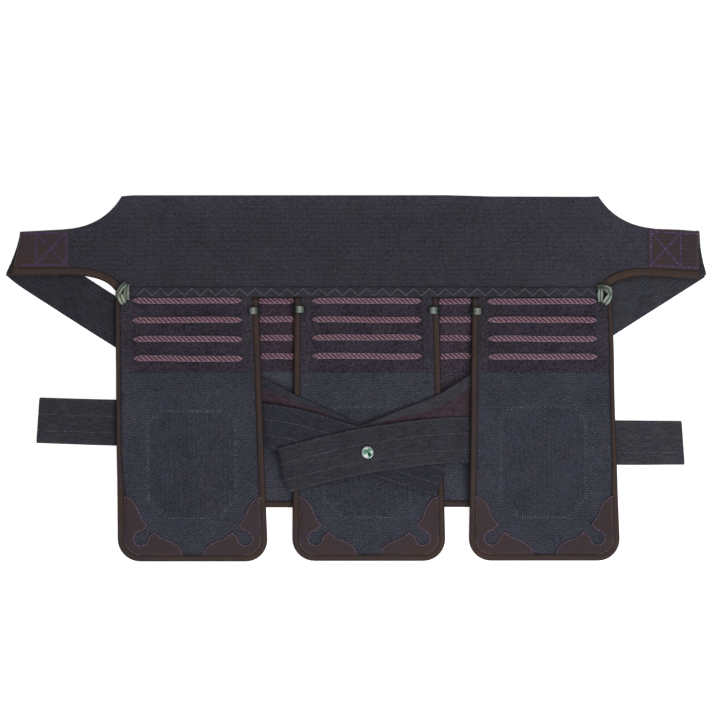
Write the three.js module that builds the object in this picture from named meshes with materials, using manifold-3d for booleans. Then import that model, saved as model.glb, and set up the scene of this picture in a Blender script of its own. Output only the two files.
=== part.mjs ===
// A kendo waist protector lying flat on a table, front side up, with its straps folded across it.
// Millimetres. X runs along the waist, Y runs from the hems of the flaps to the band, Z is up.

import * as THREE from 'three';
import { mergeVertices } from 'three/addons/utils/BufferGeometryUtils.js';
import Module from 'manifold-3d';

const wasm = await Module();
wasm.setup();

// Clearance between edges that meet, and between soft layers that lie on each other
const GAP = 0.4;
const LAYER_GAP = 0.6;

// Waist band: a long quilted belt, raised in the middle, with a narrow tab at each end
const BAND_CENTRE_X = 4.2;
const BAND_TOP_Y = 192;
const BAND_BOTTOM_Y = 96;
const BAND_THICKNESS = 9;
const BAND_TOP_HALF = 250;
const BAND_ROUND = 2.2;
const TAB_END = 356.5;
const TAB_TOP_Y = 155.5;
const TAB_BINDING_Y = 112;
const TAB_BINDING_WIDTH = 7.6;
const SHOULDER_END = 310;
const SHOULDER_BEND = [270.2, 159];
const ELBOW_START = 304;
const ELBOW_BEND = [268, 111.5];
const ELBOW_END = [255.5, 96.6];

// The tabs rise off the table to let the straps fold under them
const LIFT_START = 236;
const LIFT_END = 275;
const TAB_LIFT = 4.9;

// Where the band's ends are sliced across, from its middle
const SHOULDER_SLICES = [256, 262, 268];
const TAB_SLICES = [284, 294];
const ELBOW_STEPS = 6;

// Leather patches on the tabs
const PATCH_INNER = 305;
const PATCH_BOTTOM_Y = 117;
const PATCH_TOP_Y = 151.2;
const LEATHER = 1.1;
const LEATHER_ROUND = 0.5;

// The sewn seam where the tops of the flaps are pressed together under the joining strip
const SEAM_Y = 95.4;
const SEAM_BLEND_TOP = 88;
const SEAM_BLEND_BOTTOM = 55;
const SEAM_SMALL_TOP = 2.6;
const SEAM_PANEL_BOTTOM = 3;
const SEAM_PANEL_THICKNESS = 4.2;
const STRIP_BOTTOM_Y = 85.6;
const STRIP_TOP_Z = 8.8;
const STRIP_LEFT = -252;
const STRIP_RIGHT = 259.6;
const STRIP_ROUND = 0.6;
const STRIP_DIP = 1;

// Flaps: outer edges at the seam and at the hem, leather binding included
const PANEL_THICKNESS = 6;
const SMALL_THICKNESS = 5;
const HEM_RADIUS = 23.6;
const BINDING = 6;
const BINDING_ROUND = 1.7;
const BINDING_PROUD = 0.3;
const INSET = BINDING + GAP;
const PANELS = {
  left: { seamLeft: -252.5, seamRight: -102.4, hemLeft: -249.7, hemRight: -93.2, hemY: -192 },
  centre: { seamLeft: -64.6, seamRight: 86.6, hemLeft: -67, hemRight: 93.6, hemY: -191.7 },
  right: { seamLeft: 121.5, seamRight: 265.8, hemLeft: 118, hemRight: 277.5, hemY: -191.5 },
  small_left: { seamLeft: -154.5, seamRight: -12.5, hemLeft: -154.4, hemRight: -6.4, hemY: -134.4 },
  small_right: { seamLeft: 33, seamRight: 175, hemLeft: 31.5, hemRight: 179.5, hemY: -134.4 },
};

// Plaited cords across the flaps
const BRAID_WIDTH = 7.4;
const BRAID_HEIGHT = 3.2;
const BRAID_POINT = 5;
const BRAID_HALF_LENGTH = 57;
const BRAID_ROWS = 4;
const BRAID_STEP = 17.5;
const BRAID_END_FULLNESS = 0.25;
const BRAID_PROFILE = [[-0.5, 0], [0.5, 0], [0.3, 1], [-0.3, 1]];
const BRAID_LAYOUT = {
  left: { firstY: 81.4, pitch: 20 },
  centre: { firstY: 81.4, pitch: 19.3 },
  right: { firstY: 80.9, pitch: 19.4 },
  small_left: { firstY: 81.4, pitch: 19.3 },
  small_right: { firstY: 81, pitch: 19.2 },
};

// Straps: route of the centre line of each run, with the lean of the fold that ends it
const STRAP_WIDTH = 46;
const STRAP_THICKNESS = 1.8;
const STRAP_STEP = 15;
const STRAP_CELLS = 3;
const FOLD_STEPS = 4;
const ROUTE_SAMPLES = 5;
const STRAP_LEVEL = STRAP_THICKNESS + LAYER_GAP;
const STRAPS = {
  left: {
    sewn: { lean: 0.333, route: [[-309, 130.7], [-335, 130.6], [-358.2, 130.5]] },
    under: {
      lean: -0.069,
      route: [[-358.2, 130.5], [-310.8, 97.6], [-239.5, 51.5], [-174.3, 12.6], [-106.2, -22.1],
        [-73.9, -36.9], [-46.5, -49.4], [-12.6, -67.9], [23.1, -74], [58.8, -70.9], [105, -65.1],
        [172.2, -64.6], [256.2, -66.6], [341.4, -67.5]],
    },
    over: {
      route: [[341.4, -67.5], [272, -67.6], [193.2, -65.1], [117.6, -63.8], [85.1, -65.2],
        [41, -69.8], [2.1, -75.6], [-35.7, -84.2], [-75.6, -94.7]],
    },
  },
  right: {
    sewn: { lean: -0.145, route: [[313, 130.8], [338, 130.9], [362.4, 131]] },
    under: {
      lean: 0.069,
      route: [[362.4, 131], [314, 100.3], [263.7, 68.3], [193.2, 22.6], [129.8, -18.5],
        [98.1, -35.2], [60.2, -51.6], [25.2, -64.6], [-11.6, -69.3], [-48.3, -60.9],
        [-85.1, -51.5], [-127, -47.3], [-184.8, -46.2], [-249.9, -46.1], [-331.9, -43.9]],
    },
    over: {
      route: [[-331.9, -43.9], [-249.9, -46.6], [-184.8, -46.7], [-127, -47.8], [-98.7, -48.8],
        [-62.6, -54.5], [-20.6, -66.7], [25.2, -80.3], [90, -101.1]],
    },
  },
};

// How far a piece eases down beside what it lies on
const EASE_MARGIN = 4;
const SMALL_EASE = 60;
const CENTRE_EASE = 55;
const STRAP_EASE = 36;
const STRAP_ZONE_TOP = 14;
const STRAP_ZONE_BOTTOM = -116;
const STRAP_ZONE_EASE = 40;

// Scalloped leather corners, measured in from the outer corner of the flap, mirrored on its diagonal
const CORNER_REACH = 68.5;
const CORNER_CURVES = [
  { bend: [17.9, 67.7], end: [23.1, 51.4] },
  { bend: [25.2, 44.1], end: [31.5, 38.9] },
  { bend: [29.5, 35], end: [24.2, 31.2] },
];
const KEYHOLE_CENTRE = 24.3;
const KEYHOLE_RADIUS = 6.9;
const CURVE_SEGMENTS = 3;
const CORNER_CUTTER_BOTTOM = -20;
const CORNER_CUTTER_HEIGHT = 80;

// Pale leather knots on the band's lower corners: three flat thongs woven into a triangle
const KNOT_THONG_WIDTH = 5.4;
const KNOT_THONG_THICKNESS = 2;
const KNOT_ARCH = [0, 1.2, 1.2, 0];
const THONG_SECTION = [[-1, 0], [1, 0], [1, 0.6], [0.6, 1], [-0.6, 1], [-1, 0.6]];
const KNOTS = {
  left: { x: -243.6, y: 88.7, thongs: [[4.2, 10.8, -7.2, -3.6], [6, 8.6, 6, -7.4], [-7, -3.8, 1.2, -11]] },
  right: { x: 260.9, y: 88.2, thongs: [[-6.2, 8, 6.6, 2.2], [-4.8, 7.6, -4.4, -8.8], [6, 0.6, -1.6, -10.6]] },
};

// Pale leather ties wrapped over the binding on the inner edges of the large flaps
const TIE_LENGTH = 7.2;
const TIE_WIDTH = 9.4;
const TIE_HEIGHT = 2.6;
const TIE_WRAPS = 3;
const TIE_GROOVE = 0.7;
const TIE_NARROWING = 0.97;
const TIE_PROFILE = [[-1, 0], [1, 0], [0.92, 0.55], [0.4, 1], [-0.4, 1], [-0.92, 0.55]];
const TIES = [
  { panel: 'left', side: 1, y: 71.9 },
  { panel: 'centre', side: -1, y: 73 },
  { panel: 'centre', side: 1, y: 72.4 },
  { panel: 'right', side: -1, y: 71.4 },
];

// Round set stone on the top strap
const STUD_X = 12.1;
const STUD_Y = -77.2;
const STUD_RADIUS = 6.6;
const STUD_HEIGHT = 2.8;
const STUD_SHOULDER = 2;
const STUD_LIP = 2.3;
const STUD_FLOOR = 0.8;
const STONE_RADIUS = 5.2;
const STONE_TABLE = 2.9;
const STONE_GIRDLE = [2.1, 2.5];
const STONE_TOP = 4.1;
const STONE_FACETS = 8;
const STUD_SIDES = 16;

const COLOURS = {
  band: { color: 0x34333b, roughness: 0.9 },
  cloth: { color: 0x383943, roughness: 0.92 },
  strap: { color: 0x35343b, roughness: 0.9 },
  leather: { color: 0x3d3334, roughness: 0.7 },
  braid: { color: 0x5f4b55, roughness: 0.75 },
  thong: { color: 0x7d877d, roughness: 0.6 },
  metal: { color: 0xb8bcb8, roughness: 0.25, metalness: 1 },
  stone: { color: 0x2f8a5c, roughness: 0.05 },
};
const materials = Object.fromEntries(
  Object.entries(COLOURS).map(([name, look]) => [name, new THREE.MeshStandardMaterial(look)]),
);

const part = new THREE.Group();

function addPiece(name, geometry, material) {
  geometry.computeVertexNormals();
  const mesh = new THREE.Mesh(geometry, materials[material]);
  mesh.name = name;
  part.add(mesh);
}

function mix(a, b, t) {
  return a + (b - a) * t;
}

// 1 up to the edge, easing down to 0 one ease length away from it
function easeDown(distance, length) {
  const t = THREE.MathUtils.clamp((distance - EASE_MARGIN) / length, 0, 1);
  return 0.5 * (1 + Math.cos(Math.PI * t));
}

// Skins a row of rings, each an even loop of points, into one closed body
function loft(rings) {
  const count = rings[0].length;
  const points = rings.flat();
  const faces = [];
  for (let i = 0; i + 1 < rings.length; i += 1) {
    for (let j = 0; j < count; j += 1) {
      const a = i * count + j;
      const b = i * count + ((j + 1) % count);
      if (j < count / 2) {
        faces.push([a, b, b + count], [a, b + count, a + count]);
      } else {
        faces.push([a, b, a + count], [b, b + count, a + count]);
      }
    }
  }
  const last = (rings.length - 1) * count;
  for (let j = 0; j + 1 < count / 2; j += 1) {
    const [a, b, c, d] = [j, j + 1, count - 2 - j, count - 1 - j];
    faces.push([c, b, a], [d, c, a], [last + a, last + b, last + c], [last + a, last + c, last + d]);
  }
  const triple = new THREE.Vector3();
  const cone = ([a, b, c]) => triple.crossVectors(points[b], points[c]).dot(points[a]);
  const volume = faces.reduce((sum, face) => sum + cone(face), 0);
  const outward = volume > 0 ? faces : faces.map(([a, b, c]) => [a, c, b]);
  const geometry = new THREE.BufferGeometry().setFromPoints(points);
  geometry.setIndex(outward.flat());
  return geometry;
}

function toSolid(geometry) {
  const bare = geometry.clone();
  bare.deleteAttribute('normal');
  bare.deleteAttribute('uv');
  const merged = mergeVertices(bare, 1e-4);
  return new wasm.Manifold(new wasm.Mesh({
    numProp: 3,
    vertProperties: new Float32Array(merged.attributes.position.array),
    triVerts: new Uint32Array(merged.index.array),
  }));
}

function toGeometry(solid) {
  const mesh = solid.getMesh();
  const geometry = new THREE.BufferGeometry();
  geometry.setAttribute('position', new THREE.BufferAttribute(mesh.vertProperties, mesh.numProp));
  geometry.setIndex(new THREE.BufferAttribute(mesh.triVerts, 1));
  return geometry;
}

// Where the flaps' edges run
function panelEdges(panel, y) {
  const t = (SEAM_Y - y) / (SEAM_Y - panel.hemY);
  return [mix(panel.seamLeft, panel.hemLeft, t), mix(panel.seamRight, panel.hemRight, t)];
}

function distanceFromPanel(panel, x, y) {
  const [left, right] = panelEdges(panel, y);
  return Math.hypot(Math.max(left - x, x - right, 0), Math.max(panel.hemY - y, 0));
}

// Where the straps run, as smooth centre lines
function routeCurve(run) {
  return new THREE.CatmullRomCurve3(run.route.map(([x, y]) => new THREE.Vector3(x, y, 0)));
}

function distanceFromRoute(points, x, y) {
  const spot = new THREE.Vector3(x, y, 0);
  const nearest = new THREE.Vector3();
  const line = new THREE.Line3();
  let best = Infinity;
  for (let i = 0; i + 1 < points.length; i += 1) {
    line.set(points[i], points[i + 1]).closestPointToPoint(spot, true, nearest);
    best = Math.min(best, nearest.distanceTo(spot));
  }
  return best;
}

// Layers: how high each piece lifts what lies on it
function panelLayer(panel, thickness, ease) {
  const height = thickness + BINDING_PROUD + LAYER_GAP;
  return (x, y) => height * easeDown(distanceFromPanel(panel, x, y), ease);
}

function strapLayer(run) {
  const points = routeCurve(run).getSpacedPoints(run.route.length * ROUTE_SAMPLES);
  return (x, y) => STRAP_LEVEL * easeDown(distanceFromRoute(points, x, y) - STRAP_WIDTH / 2, STRAP_EASE);
}

const smallLeft = panelLayer(PANELS.small_left, SMALL_THICKNESS, SMALL_EASE);
const smallRight = panelLayer(PANELS.small_right, SMALL_THICKNESS, SMALL_EASE);
const layers = {
  smalls: (x, y) => Math.max(smallLeft(x, y), smallRight(x, y)),
  centre: panelLayer(PANELS.centre, PANEL_THICKNESS, CENTRE_EASE),
  leftUnder: strapLayer(STRAPS.left.under),
  rightUnder: strapLayer(STRAPS.right.under),
  rightOver: strapLayer(STRAPS.right.over),
  leftOver: strapLayer(STRAPS.left.over),
};

// The straps climb onto the centre flap, and lift the inner edges of the outer flaps there
layers.centreRise = (x, y) => {
  const outside = Math.max(y - STRAP_ZONE_TOP, STRAP_ZONE_BOTTOM - y);
  return layers.centre(x, y) * easeDown(outside, STRAP_ZONE_EASE);
};

function stack(...names) {
  const below = names.map((name) => layers[name]);
  return (x, y) => below.reduce((sum, layer) => sum + layer(x, y), 0);
}

// Undersides and upper sides of the flaps, pressed thin at the seam
function seamShare(y) {
  return 1 - THREE.MathUtils.smoothstep(y, SEAM_BLEND_BOTTOM, SEAM_BLEND_TOP);
}

function flapHeights(support) {
  return (x, y) => {
    const share = seamShare(y);
    const bottom = mix(SEAM_PANEL_BOTTOM, support(x, y), share);
    return [bottom, bottom + mix(SEAM_PANEL_THICKNESS, PANEL_THICKNESS, share)];
  };
}

function smallFlapHeights(x, y) {
  return [0, mix(SEAM_SMALL_TOP, SMALL_THICKNESS, seamShare(y))];
}

const heights = {
  left: flapHeights(stack('smalls', 'centreRise', 'leftUnder', 'rightUnder', 'rightOver')),
  centre: flapHeights(stack('smalls')),
  right: flapHeights(stack('smalls', 'centreRise', 'leftUnder', 'rightUnder', 'rightOver', 'leftOver')),
  small_left: smallFlapHeights,
  small_right: smallFlapHeights,
};

// Flaps
const LARGE_GRID = { pitch: 18, columns: 8 };
const SMALL_GRID = { pitch: 65, columns: 2 };
const SEAM_ROWS = [STRIP_BOTTOM_Y - GAP, 76, 66, 55];
const CORNER_STEPS = 3;

// Rows down a flap from its top to its hem, with the turn of the hem's corners
function flapRows(panel, inset, topRows, pitch) {
  const radius = HEM_RADIUS - inset;
  const hem = panel.hemY + inset;
  const first = topRows.at(-1);
  const straight = Math.round((first - hem - radius) / pitch);
  const rows = topRows.map((y) => ({ y, tuck: 0, turn: 0 }));
  for (let i = 1; i <= straight; i += 1) {
    rows.push({ y: mix(first, hem + radius, i / straight), tuck: 0, turn: 0 });
  }
  for (let i = 1; i <= CORNER_STEPS; i += 1) {
    const turn = (i / CORNER_STEPS) * Math.PI / 2;
    rows.push({ y: hem + radius * (1 - Math.sin(turn)), tuck: radius * (1 - Math.cos(turn)), turn });
  }
  return rows;
}

// A sheet over the flap's inner area, between two heights above its underside or upper side
function flapSlab(panel, rows, columns, between) {
  const rings = rows.map(({ y, tuck }) => {
    const [left, right] = panelEdges(panel, y);
    const upper = [];
    const lower = [];
    for (let i = 0; i <= columns; i += 1) {
      const x = mix(left + INSET + tuck, right - INSET - tuck, i / columns);
      const [bottom, top] = between(x, y);
      upper.push(new THREE.Vector3(x, y, top));
      lower.unshift(new THREE.Vector3(x, y, bottom));
    }
    return [...upper, ...lower];
  });
  return loft(rings);
}

function bindingRing(spot, outward, width, between) {
  const place = (out, lift) => {
    const x = spot.x + outward.x * out;
    const y = spot.y + outward.y * out;
    const [bottom, top] = between(x, y);
    return new THREE.Vector3(x, y, lift < 0 ? top + lift + BINDING_ROUND : bottom + lift);
  };
  const round = BINDING_ROUND;
  return [
    place(0, 0), place(width - round, 0), place(width, round),
    place(width, -2 * round), place(width - round, -round), place(0, -round),
  ];
}

// Leather binding down one side, round the hem and up the other side
function flapBinding(panel, pitch, between) {
  const rows = flapRows(panel, BINDING, SEAM_ROWS, pitch);
  const proud = (x, y) => {
    const [bottom, top] = between(x, y);
    return [bottom, top + BINDING_PROUD];
  };
  const side = (sign) => rows.map(({ y, tuck, turn }) => {
    const [left, right] = panelEdges(panel, y);
    const edge = sign < 0 ? left : right;
    const outward = { x: sign * Math.cos(turn), y: -Math.sin(turn) };
    return bindingRing({ x: edge - sign * (BINDING + tuck), y }, outward, BINDING, proud);
  });
  const [leftSide, rightSide] = [side(-1), side(1)];
  const [start, end] = [leftSide.at(-1)[0], rightSide.at(-1)[0]];
  const cells = Math.round((end.x - start.x) / pitch);
  const along = [];
  for (let i = 1; i < cells; i += 1) {
    const spot = { x: mix(start.x, end.x, i / cells), y: start.y };
    along.push(bindingRing(spot, { x: 0, y: -1 }, BINDING, proud));
  }
  return loft([...leftSide, ...along, ...rightSide.reverse()]);
}

// Outline of one leather corner, from the side of the flap across to the hem
function cornerOutline() {
  const edge = INSET + GAP;
  const radius = HEM_RADIUS - edge;
  const flip = ([u, v]) => [v, u];
  const outline = new THREE.Shape();
  outline.moveTo(edge, CORNER_REACH);
  for (const { bend, end } of CORNER_CURVES) {
    outline.quadraticCurveTo(...bend, ...end);
  }
  const throat = CORNER_CURVES.at(-1).end;
  const entry = Math.atan2(throat[1] - KEYHOLE_CENTRE, throat[0] - KEYHOLE_CENTRE);
  const leave = Math.PI / 2 - entry;
  const deepest = Math.PI * 1.25;
  outline.absarc(KEYHOLE_CENTRE, KEYHOLE_CENTRE, KEYHOLE_RADIUS, entry, deepest, false);
  outline.absarc(KEYHOLE_CENTRE, KEYHOLE_CENTRE, KEYHOLE_RADIUS, deepest, leave + 2 * Math.PI, false);
  const stops = [[edge, CORNER_REACH], ...CORNER_CURVES.map(({ end }) => end)];
  for (let i = CORNER_CURVES.length - 1; i >= 0; i -= 1) {
    outline.quadraticCurveTo(...flip(CORNER_CURVES[i].bend), ...flip(stops[i]));
  }
  outline.lineTo(edge + radius, edge);
  outline.absarc(edge + radius, edge + radius, radius, Math.PI * 1.5, Math.PI, true);
  return outline;
}

const cornerShape = cornerOutline();

function cornerLeather(panel, rows, between, sign) {
  const prism = new THREE.ExtrudeGeometry(cornerShape, {
    depth: CORNER_CUTTER_HEIGHT, curveSegments: CURVE_SEGMENTS, bevelEnabled: false,
  });
  const [left, right] = panelEdges(panel, panel.hemY);
  if (sign > 0) {
    prism.scale(-1, 1, 1);
    prism.setIndex([...Array(prism.attributes.position.count).keys()].reverse());
  }
  prism.translate(sign < 0 ? left : right, panel.hemY, CORNER_CUTTER_BOTTOM);
  const low = rows.filter(({ y }) => y < panel.hemY + CORNER_REACH + LARGE_GRID.pitch);
  const skin = flapSlab(panel, low, LARGE_GRID.columns, (x, y) => {
    const top = between(x, y)[1] + GAP;
    return [top, top + LEATHER];
  });
  return toGeometry(toSolid(skin).intersect(toSolid(prism)));
}

// A plaited cord laid across a flap, pointed at both ends
function braid(left, right, y, between) {
  const inner = [left + BRAID_POINT, right - BRAID_POINT];
  const cells = Math.max(1, Math.round((inner[1] - inner[0]) / BRAID_STEP));
  const stations = [{ x: left, fullness: BRAID_END_FULLNESS }];
  for (let i = 0; i <= cells; i += 1) {
    stations.push({ x: mix(...inner, i / cells), fullness: 1 });
  }
  stations.push({ x: right, fullness: BRAID_END_FULLNESS });
  return loft(stations.map(({ x, fullness }) => BRAID_PROFILE.map(([across, up]) => {
    const spotY = y + across * BRAID_WIDTH * fullness;
    const rest = between(x, spotY)[1] + GAP;
    return new THREE.Vector3(x, spotY, rest + up * BRAID_HEIGHT * mix(0.5, 1, fullness));
  })));
}

function addFlaps() {
  for (const [name, panel] of Object.entries(PANELS)) {
    const between = heights[name];
    const small = name.startsWith('small');
    const { pitch, columns } = small ? SMALL_GRID : LARGE_GRID;
    const rows = flapRows(panel, INSET, [SEAM_Y, ...SEAM_ROWS], pitch);
    const slabName = small ? name.replace('small', 'small_panel') : `panel_${name}`;
    addPiece(slabName, flapSlab(panel, rows, columns, between), 'cloth');
    addPiece(`piping_${name}`, flapBinding(panel, pitch, between), 'leather');
    if (!small) {
      addPiece(`corner_leather_${name}_a`, cornerLeather(panel, rows, between, -1), 'leather');
      addPiece(`corner_leather_${name}_b`, cornerLeather(panel, rows, between, 1), 'leather');
    }
    const layout = BRAID_LAYOUT[name];
    for (let i = 0; i < BRAID_ROWS; i += 1) {
      const y = layout.firstY - i * layout.pitch;
      const [left, right] = small ? gapBeside(name, y) : braidSpan(panel, y);
      addPiece(`braid_${name}_${i + 1}`, braid(left, right, y, between), 'braid');
    }
  }
}

function braidSpan(panel, y) {
  const [left, right] = panelEdges(panel, y);
  const middle = (left + right) / 2;
  return [middle - BRAID_HALF_LENGTH, middle + BRAID_HALF_LENGTH];
}

// The stretch of a small flap that shows between the large ones
function gapBeside(name, y) {
  const low = y - BRAID_WIDTH;
  const neighbours = name === 'small_left' ? ['left', 'centre'] : ['centre', 'right'];
  const [before, after] = neighbours.map((neighbour) => panelEdges(PANELS[neighbour], low));
  return [before[1] + GAP, after[0] - GAP];
}

// Straps
function strapRings(strap, supports) {
  const rings = [];
  const up = new THREE.Vector3(0, 0, 1);
  const half = STRAP_WIDTH / 2;
  const addRing = (centre, across, reach, normal, lift) => {
    const front = [];
    const back = [];
    for (let i = 0; i <= STRAP_CELLS; i += 1) {
      const spot = centre.clone().addScaledVector(across, mix(reach, -reach, i / STRAP_CELLS));
      spot.z += lift(spot.x, spot.y);
      front.push(spot.clone().addScaledVector(normal, STRAP_THICKNESS / 2));
      back.unshift(spot.clone().addScaledVector(normal, -STRAP_THICKNESS / 2));
    }
    rings.push([...front, ...back]);
  };
  const runs = [strap.sewn, strap.under, strap.over];
  let upward = strap === STRAPS.left ? -1 : 1;
  runs.forEach((run, index) => {
    const curve = routeCurve(run);
    const length = curve.getLength();
    const cells = Math.round(length / STRAP_STEP);
    const face = index === 1 ? -1 : 1;
    const lift = (x, y) => supports[index](x, y) + STRAP_THICKNESS / 2;
    const leanBefore = index > 0 ? runs[index - 1].lean : undefined;
    for (let i = 0; i <= cells; i += 1) {
      const share = i / cells;
      const tangent = curve.getTangentAt(share);
      const square = new THREE.Vector3(-tangent.y, tangent.x, 0).multiplyScalar(upward);
      const across = square.clone();
      blendToFold(across, leanBefore, share * length);
      blendToFold(across, run.lean, (1 - share) * length);
      const reach = half / across.dot(square);
      addRing(curve.getPointAt(share), across, reach, up.clone().multiplyScalar(face), lift);
    }
    if (run.lean !== undefined) {
      const centre = curve.getPointAt(1);
      const across = new THREE.Vector3(run.lean, 1, 0).normalize();
      const outward = new THREE.Vector3(across.y, -across.x, 0);
      outward.multiplyScalar(Math.sign(outward.dot(curve.getTangentAt(1))));
      const square = new THREE.Vector3(-curve.getTangentAt(1).y, curve.getTangentAt(1).x, 0);
      const reach = half / Math.abs(across.dot(square));
      const radius = STRAP_LEVEL / 2;
      const middle = STRAP_THICKNESS / 2 + radius;
      for (let i = 1; i < FOLD_STEPS; i += 1) {
        const turn = Math.PI * (face > 0 ? i / FOLD_STEPS : 1 - i / FOLD_STEPS);
        const normal = outward.clone().multiplyScalar(Math.sin(turn)).addScaledVector(up, Math.cos(turn));
        const spot = centre.clone().addScaledVector(normal, radius);
        addRing(spot, across, reach, normal, () => middle);
      }
    }
    upward = -upward;
  });
  return rings;
}

// Turns the line across a strap towards the line of a fold that is near
function blendToFold(across, lean, distance) {
  if (lean === undefined) {
    return;
  }
  const fold = new THREE.Vector3(lean, 1, 0).normalize();
  const share = 1 - THREE.MathUtils.smoothstep(distance, 0, STRAP_WIDTH);
  across.lerp(fold, share).normalize();
}

function addStraps() {
  const sewn = () => STRAP_LEVEL;
  const flaps = ['smalls', 'centre'];
  const left = [sewn, stack(...flaps), stack(...flaps, 'leftUnder', 'rightUnder', 'rightOver')];
  const right = [sewn, stack(...flaps, 'leftUnder'), stack(...flaps, 'leftUnder', 'rightUnder')];
  addPiece('strap_left', loft(strapRings(STRAPS.left, left)), 'strap');
  addPiece('strap_right', loft(strapRings(STRAPS.right, right)), 'strap');
  return left[2];
}

// Waist band
function heightOnCurve(curve, x) {
  let [low, high] = [0, 1];
  const rising = curve.getPoint(1).x > curve.getPoint(0).x;
  for (let i = 0; i < 30; i += 1) {
    const t = (low + high) / 2;
    if ((curve.getPoint(t).x < x) === rising) {
      low = t;
    } else {
      high = t;
    }
  }
  return curve.getPoint(low).y;
}

const plan = (x, y) => new THREE.Vector2(x, y);
const shoulder = new THREE.QuadraticBezierCurve(
  plan(BAND_TOP_HALF, BAND_TOP_Y), plan(...SHOULDER_BEND), plan(SHOULDER_END, TAB_TOP_Y),
);
const elbow = new THREE.QuadraticBezierCurve(
  plan(ELBOW_START, TAB_BINDING_Y), plan(...ELBOW_BEND), plan(...ELBOW_END),
);
// The band's own edge beside the elbow of its binding, with the elbow's end cut across
const ELBOW_CLEARANCE = TAB_BINDING_WIDTH / 2 + GAP;
const INNER_BEND = [ELBOW_BEND[0] - 3.8, ELBOW_BEND[1] + 3.8];
const INNER_END = [ELBOW_END[0] - 3.4, ELBOW_END[1] + 2.7];
const BAND_CORNER = INNER_END[0] - 3;
const innerElbow = new THREE.QuadraticBezierCurve(
  plan(ELBOW_START, TAB_BINDING_Y + ELBOW_CLEARANCE), plan(...INNER_BEND), plan(...INNER_END),
);

function tabLift(fromCentre) {
  return TAB_LIFT * THREE.MathUtils.smoothstep(fromCentre, LIFT_START, LIFT_END);
}

function bandTop(fromCentre) {
  if (fromCentre <= BAND_TOP_HALF) {
    return BAND_TOP_Y;
  }
  return fromCentre < SHOULDER_END ? heightOnCurve(shoulder, fromCentre) : TAB_TOP_Y;
}

function bandBottom(fromCentre) {
  if (fromCentre <= INNER_END[0]) {
    const share = Math.max(0, fromCentre - BAND_CORNER) / (INNER_END[0] - BAND_CORNER);
    return mix(BAND_BOTTOM_Y, INNER_END[1], share);
  }
  return fromCentre < ELBOW_START ? heightOnCurve(innerElbow, fromCentre) : innerElbow.v0.y;
}

function addBand() {
  const half = [0, LIFT_START / 2, LIFT_START, BAND_CORNER, BAND_TOP_HALF, INNER_END[0], ...SHOULDER_SLICES,
    LIFT_END, ...TAB_SLICES, ELBOW_START, SHOULDER_END, TAB_END];
  const stations = [...half.slice(1).reverse().map((d) => -d), ...half];
  const rings = stations.map((d) => {
    const fromCentre = Math.abs(d);
    const [bottomY, topY] = [bandBottom(fromCentre), bandTop(fromCentre)];
    const bottom = tabLift(fromCentre);
    const r = BAND_ROUND;
    const section = [
      [bottomY, bottom], [topY, bottom], [topY, BAND_THICKNESS - r], [topY - r, BAND_THICKNESS],
      [bottomY + r / 2, BAND_THICKNESS], [bottomY, BAND_THICKNESS - r / 2],
    ];
    return section.map(([y, z]) => new THREE.Vector3(BAND_CENTRE_X + d, y, z));
  });
  addPiece('waist_band', loft(rings), 'band');

  for (const [name, sign] of [['left', -1], ['right', 1]]) {
    const between = (x) => [tabLift(Math.abs(x - BAND_CENTRE_X)), BAND_THICKNESS + BINDING_PROUD];
    const straight = [TAB_END, (TAB_END + ELBOW_START) / 2, ELBOW_START];
    const path = straight.map((x) => ({ x, y: TAB_BINDING_Y, out: { x: 0, y: -1 } }));
    for (let i = 1; i <= ELBOW_STEPS; i += 1) {
      const spot = elbow.getPoint(i / ELBOW_STEPS);
      const tangent = elbow.getTangent(i / ELBOW_STEPS);
      path.push({ x: spot.x, y: spot.y, out: { x: -tangent.y, y: tangent.x } });
    }
    const bindingRings = path.map(({ x, y, out }) => {
      const outward = { x: sign * out.x, y: out.y };
      const inner = {
        x: BAND_CENTRE_X + sign * x - outward.x * TAB_BINDING_WIDTH / 2,
        y: y - outward.y * TAB_BINDING_WIDTH / 2,
      };
      return bindingRing(inner, outward, TAB_BINDING_WIDTH, between);
    });
    addPiece(`band_piping_${name}`, loft(bindingRings), 'leather');
    addPiece(`patch_${name}`, patch(sign), 'leather');
  }
}

function patch(sign) {
  const bottom = BAND_THICKNESS + GAP;
  const top = bottom + LEATHER;
  const shoulderZ = top - LEATHER_ROUND;
  return loft([PATCH_INNER, TAB_END - GAP].map((d) => [
    [PATCH_BOTTOM_Y, bottom], [PATCH_TOP_Y, bottom], [PATCH_TOP_Y, shoulderZ],
    [PATCH_TOP_Y - LEATHER_ROUND, top], [PATCH_BOTTOM_Y + LEATHER_ROUND, top], [PATCH_BOTTOM_Y, shoulderZ],
  ].map(([y, z]) => new THREE.Vector3(BAND_CENTRE_X + sign * d, y, z))));
}

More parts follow.
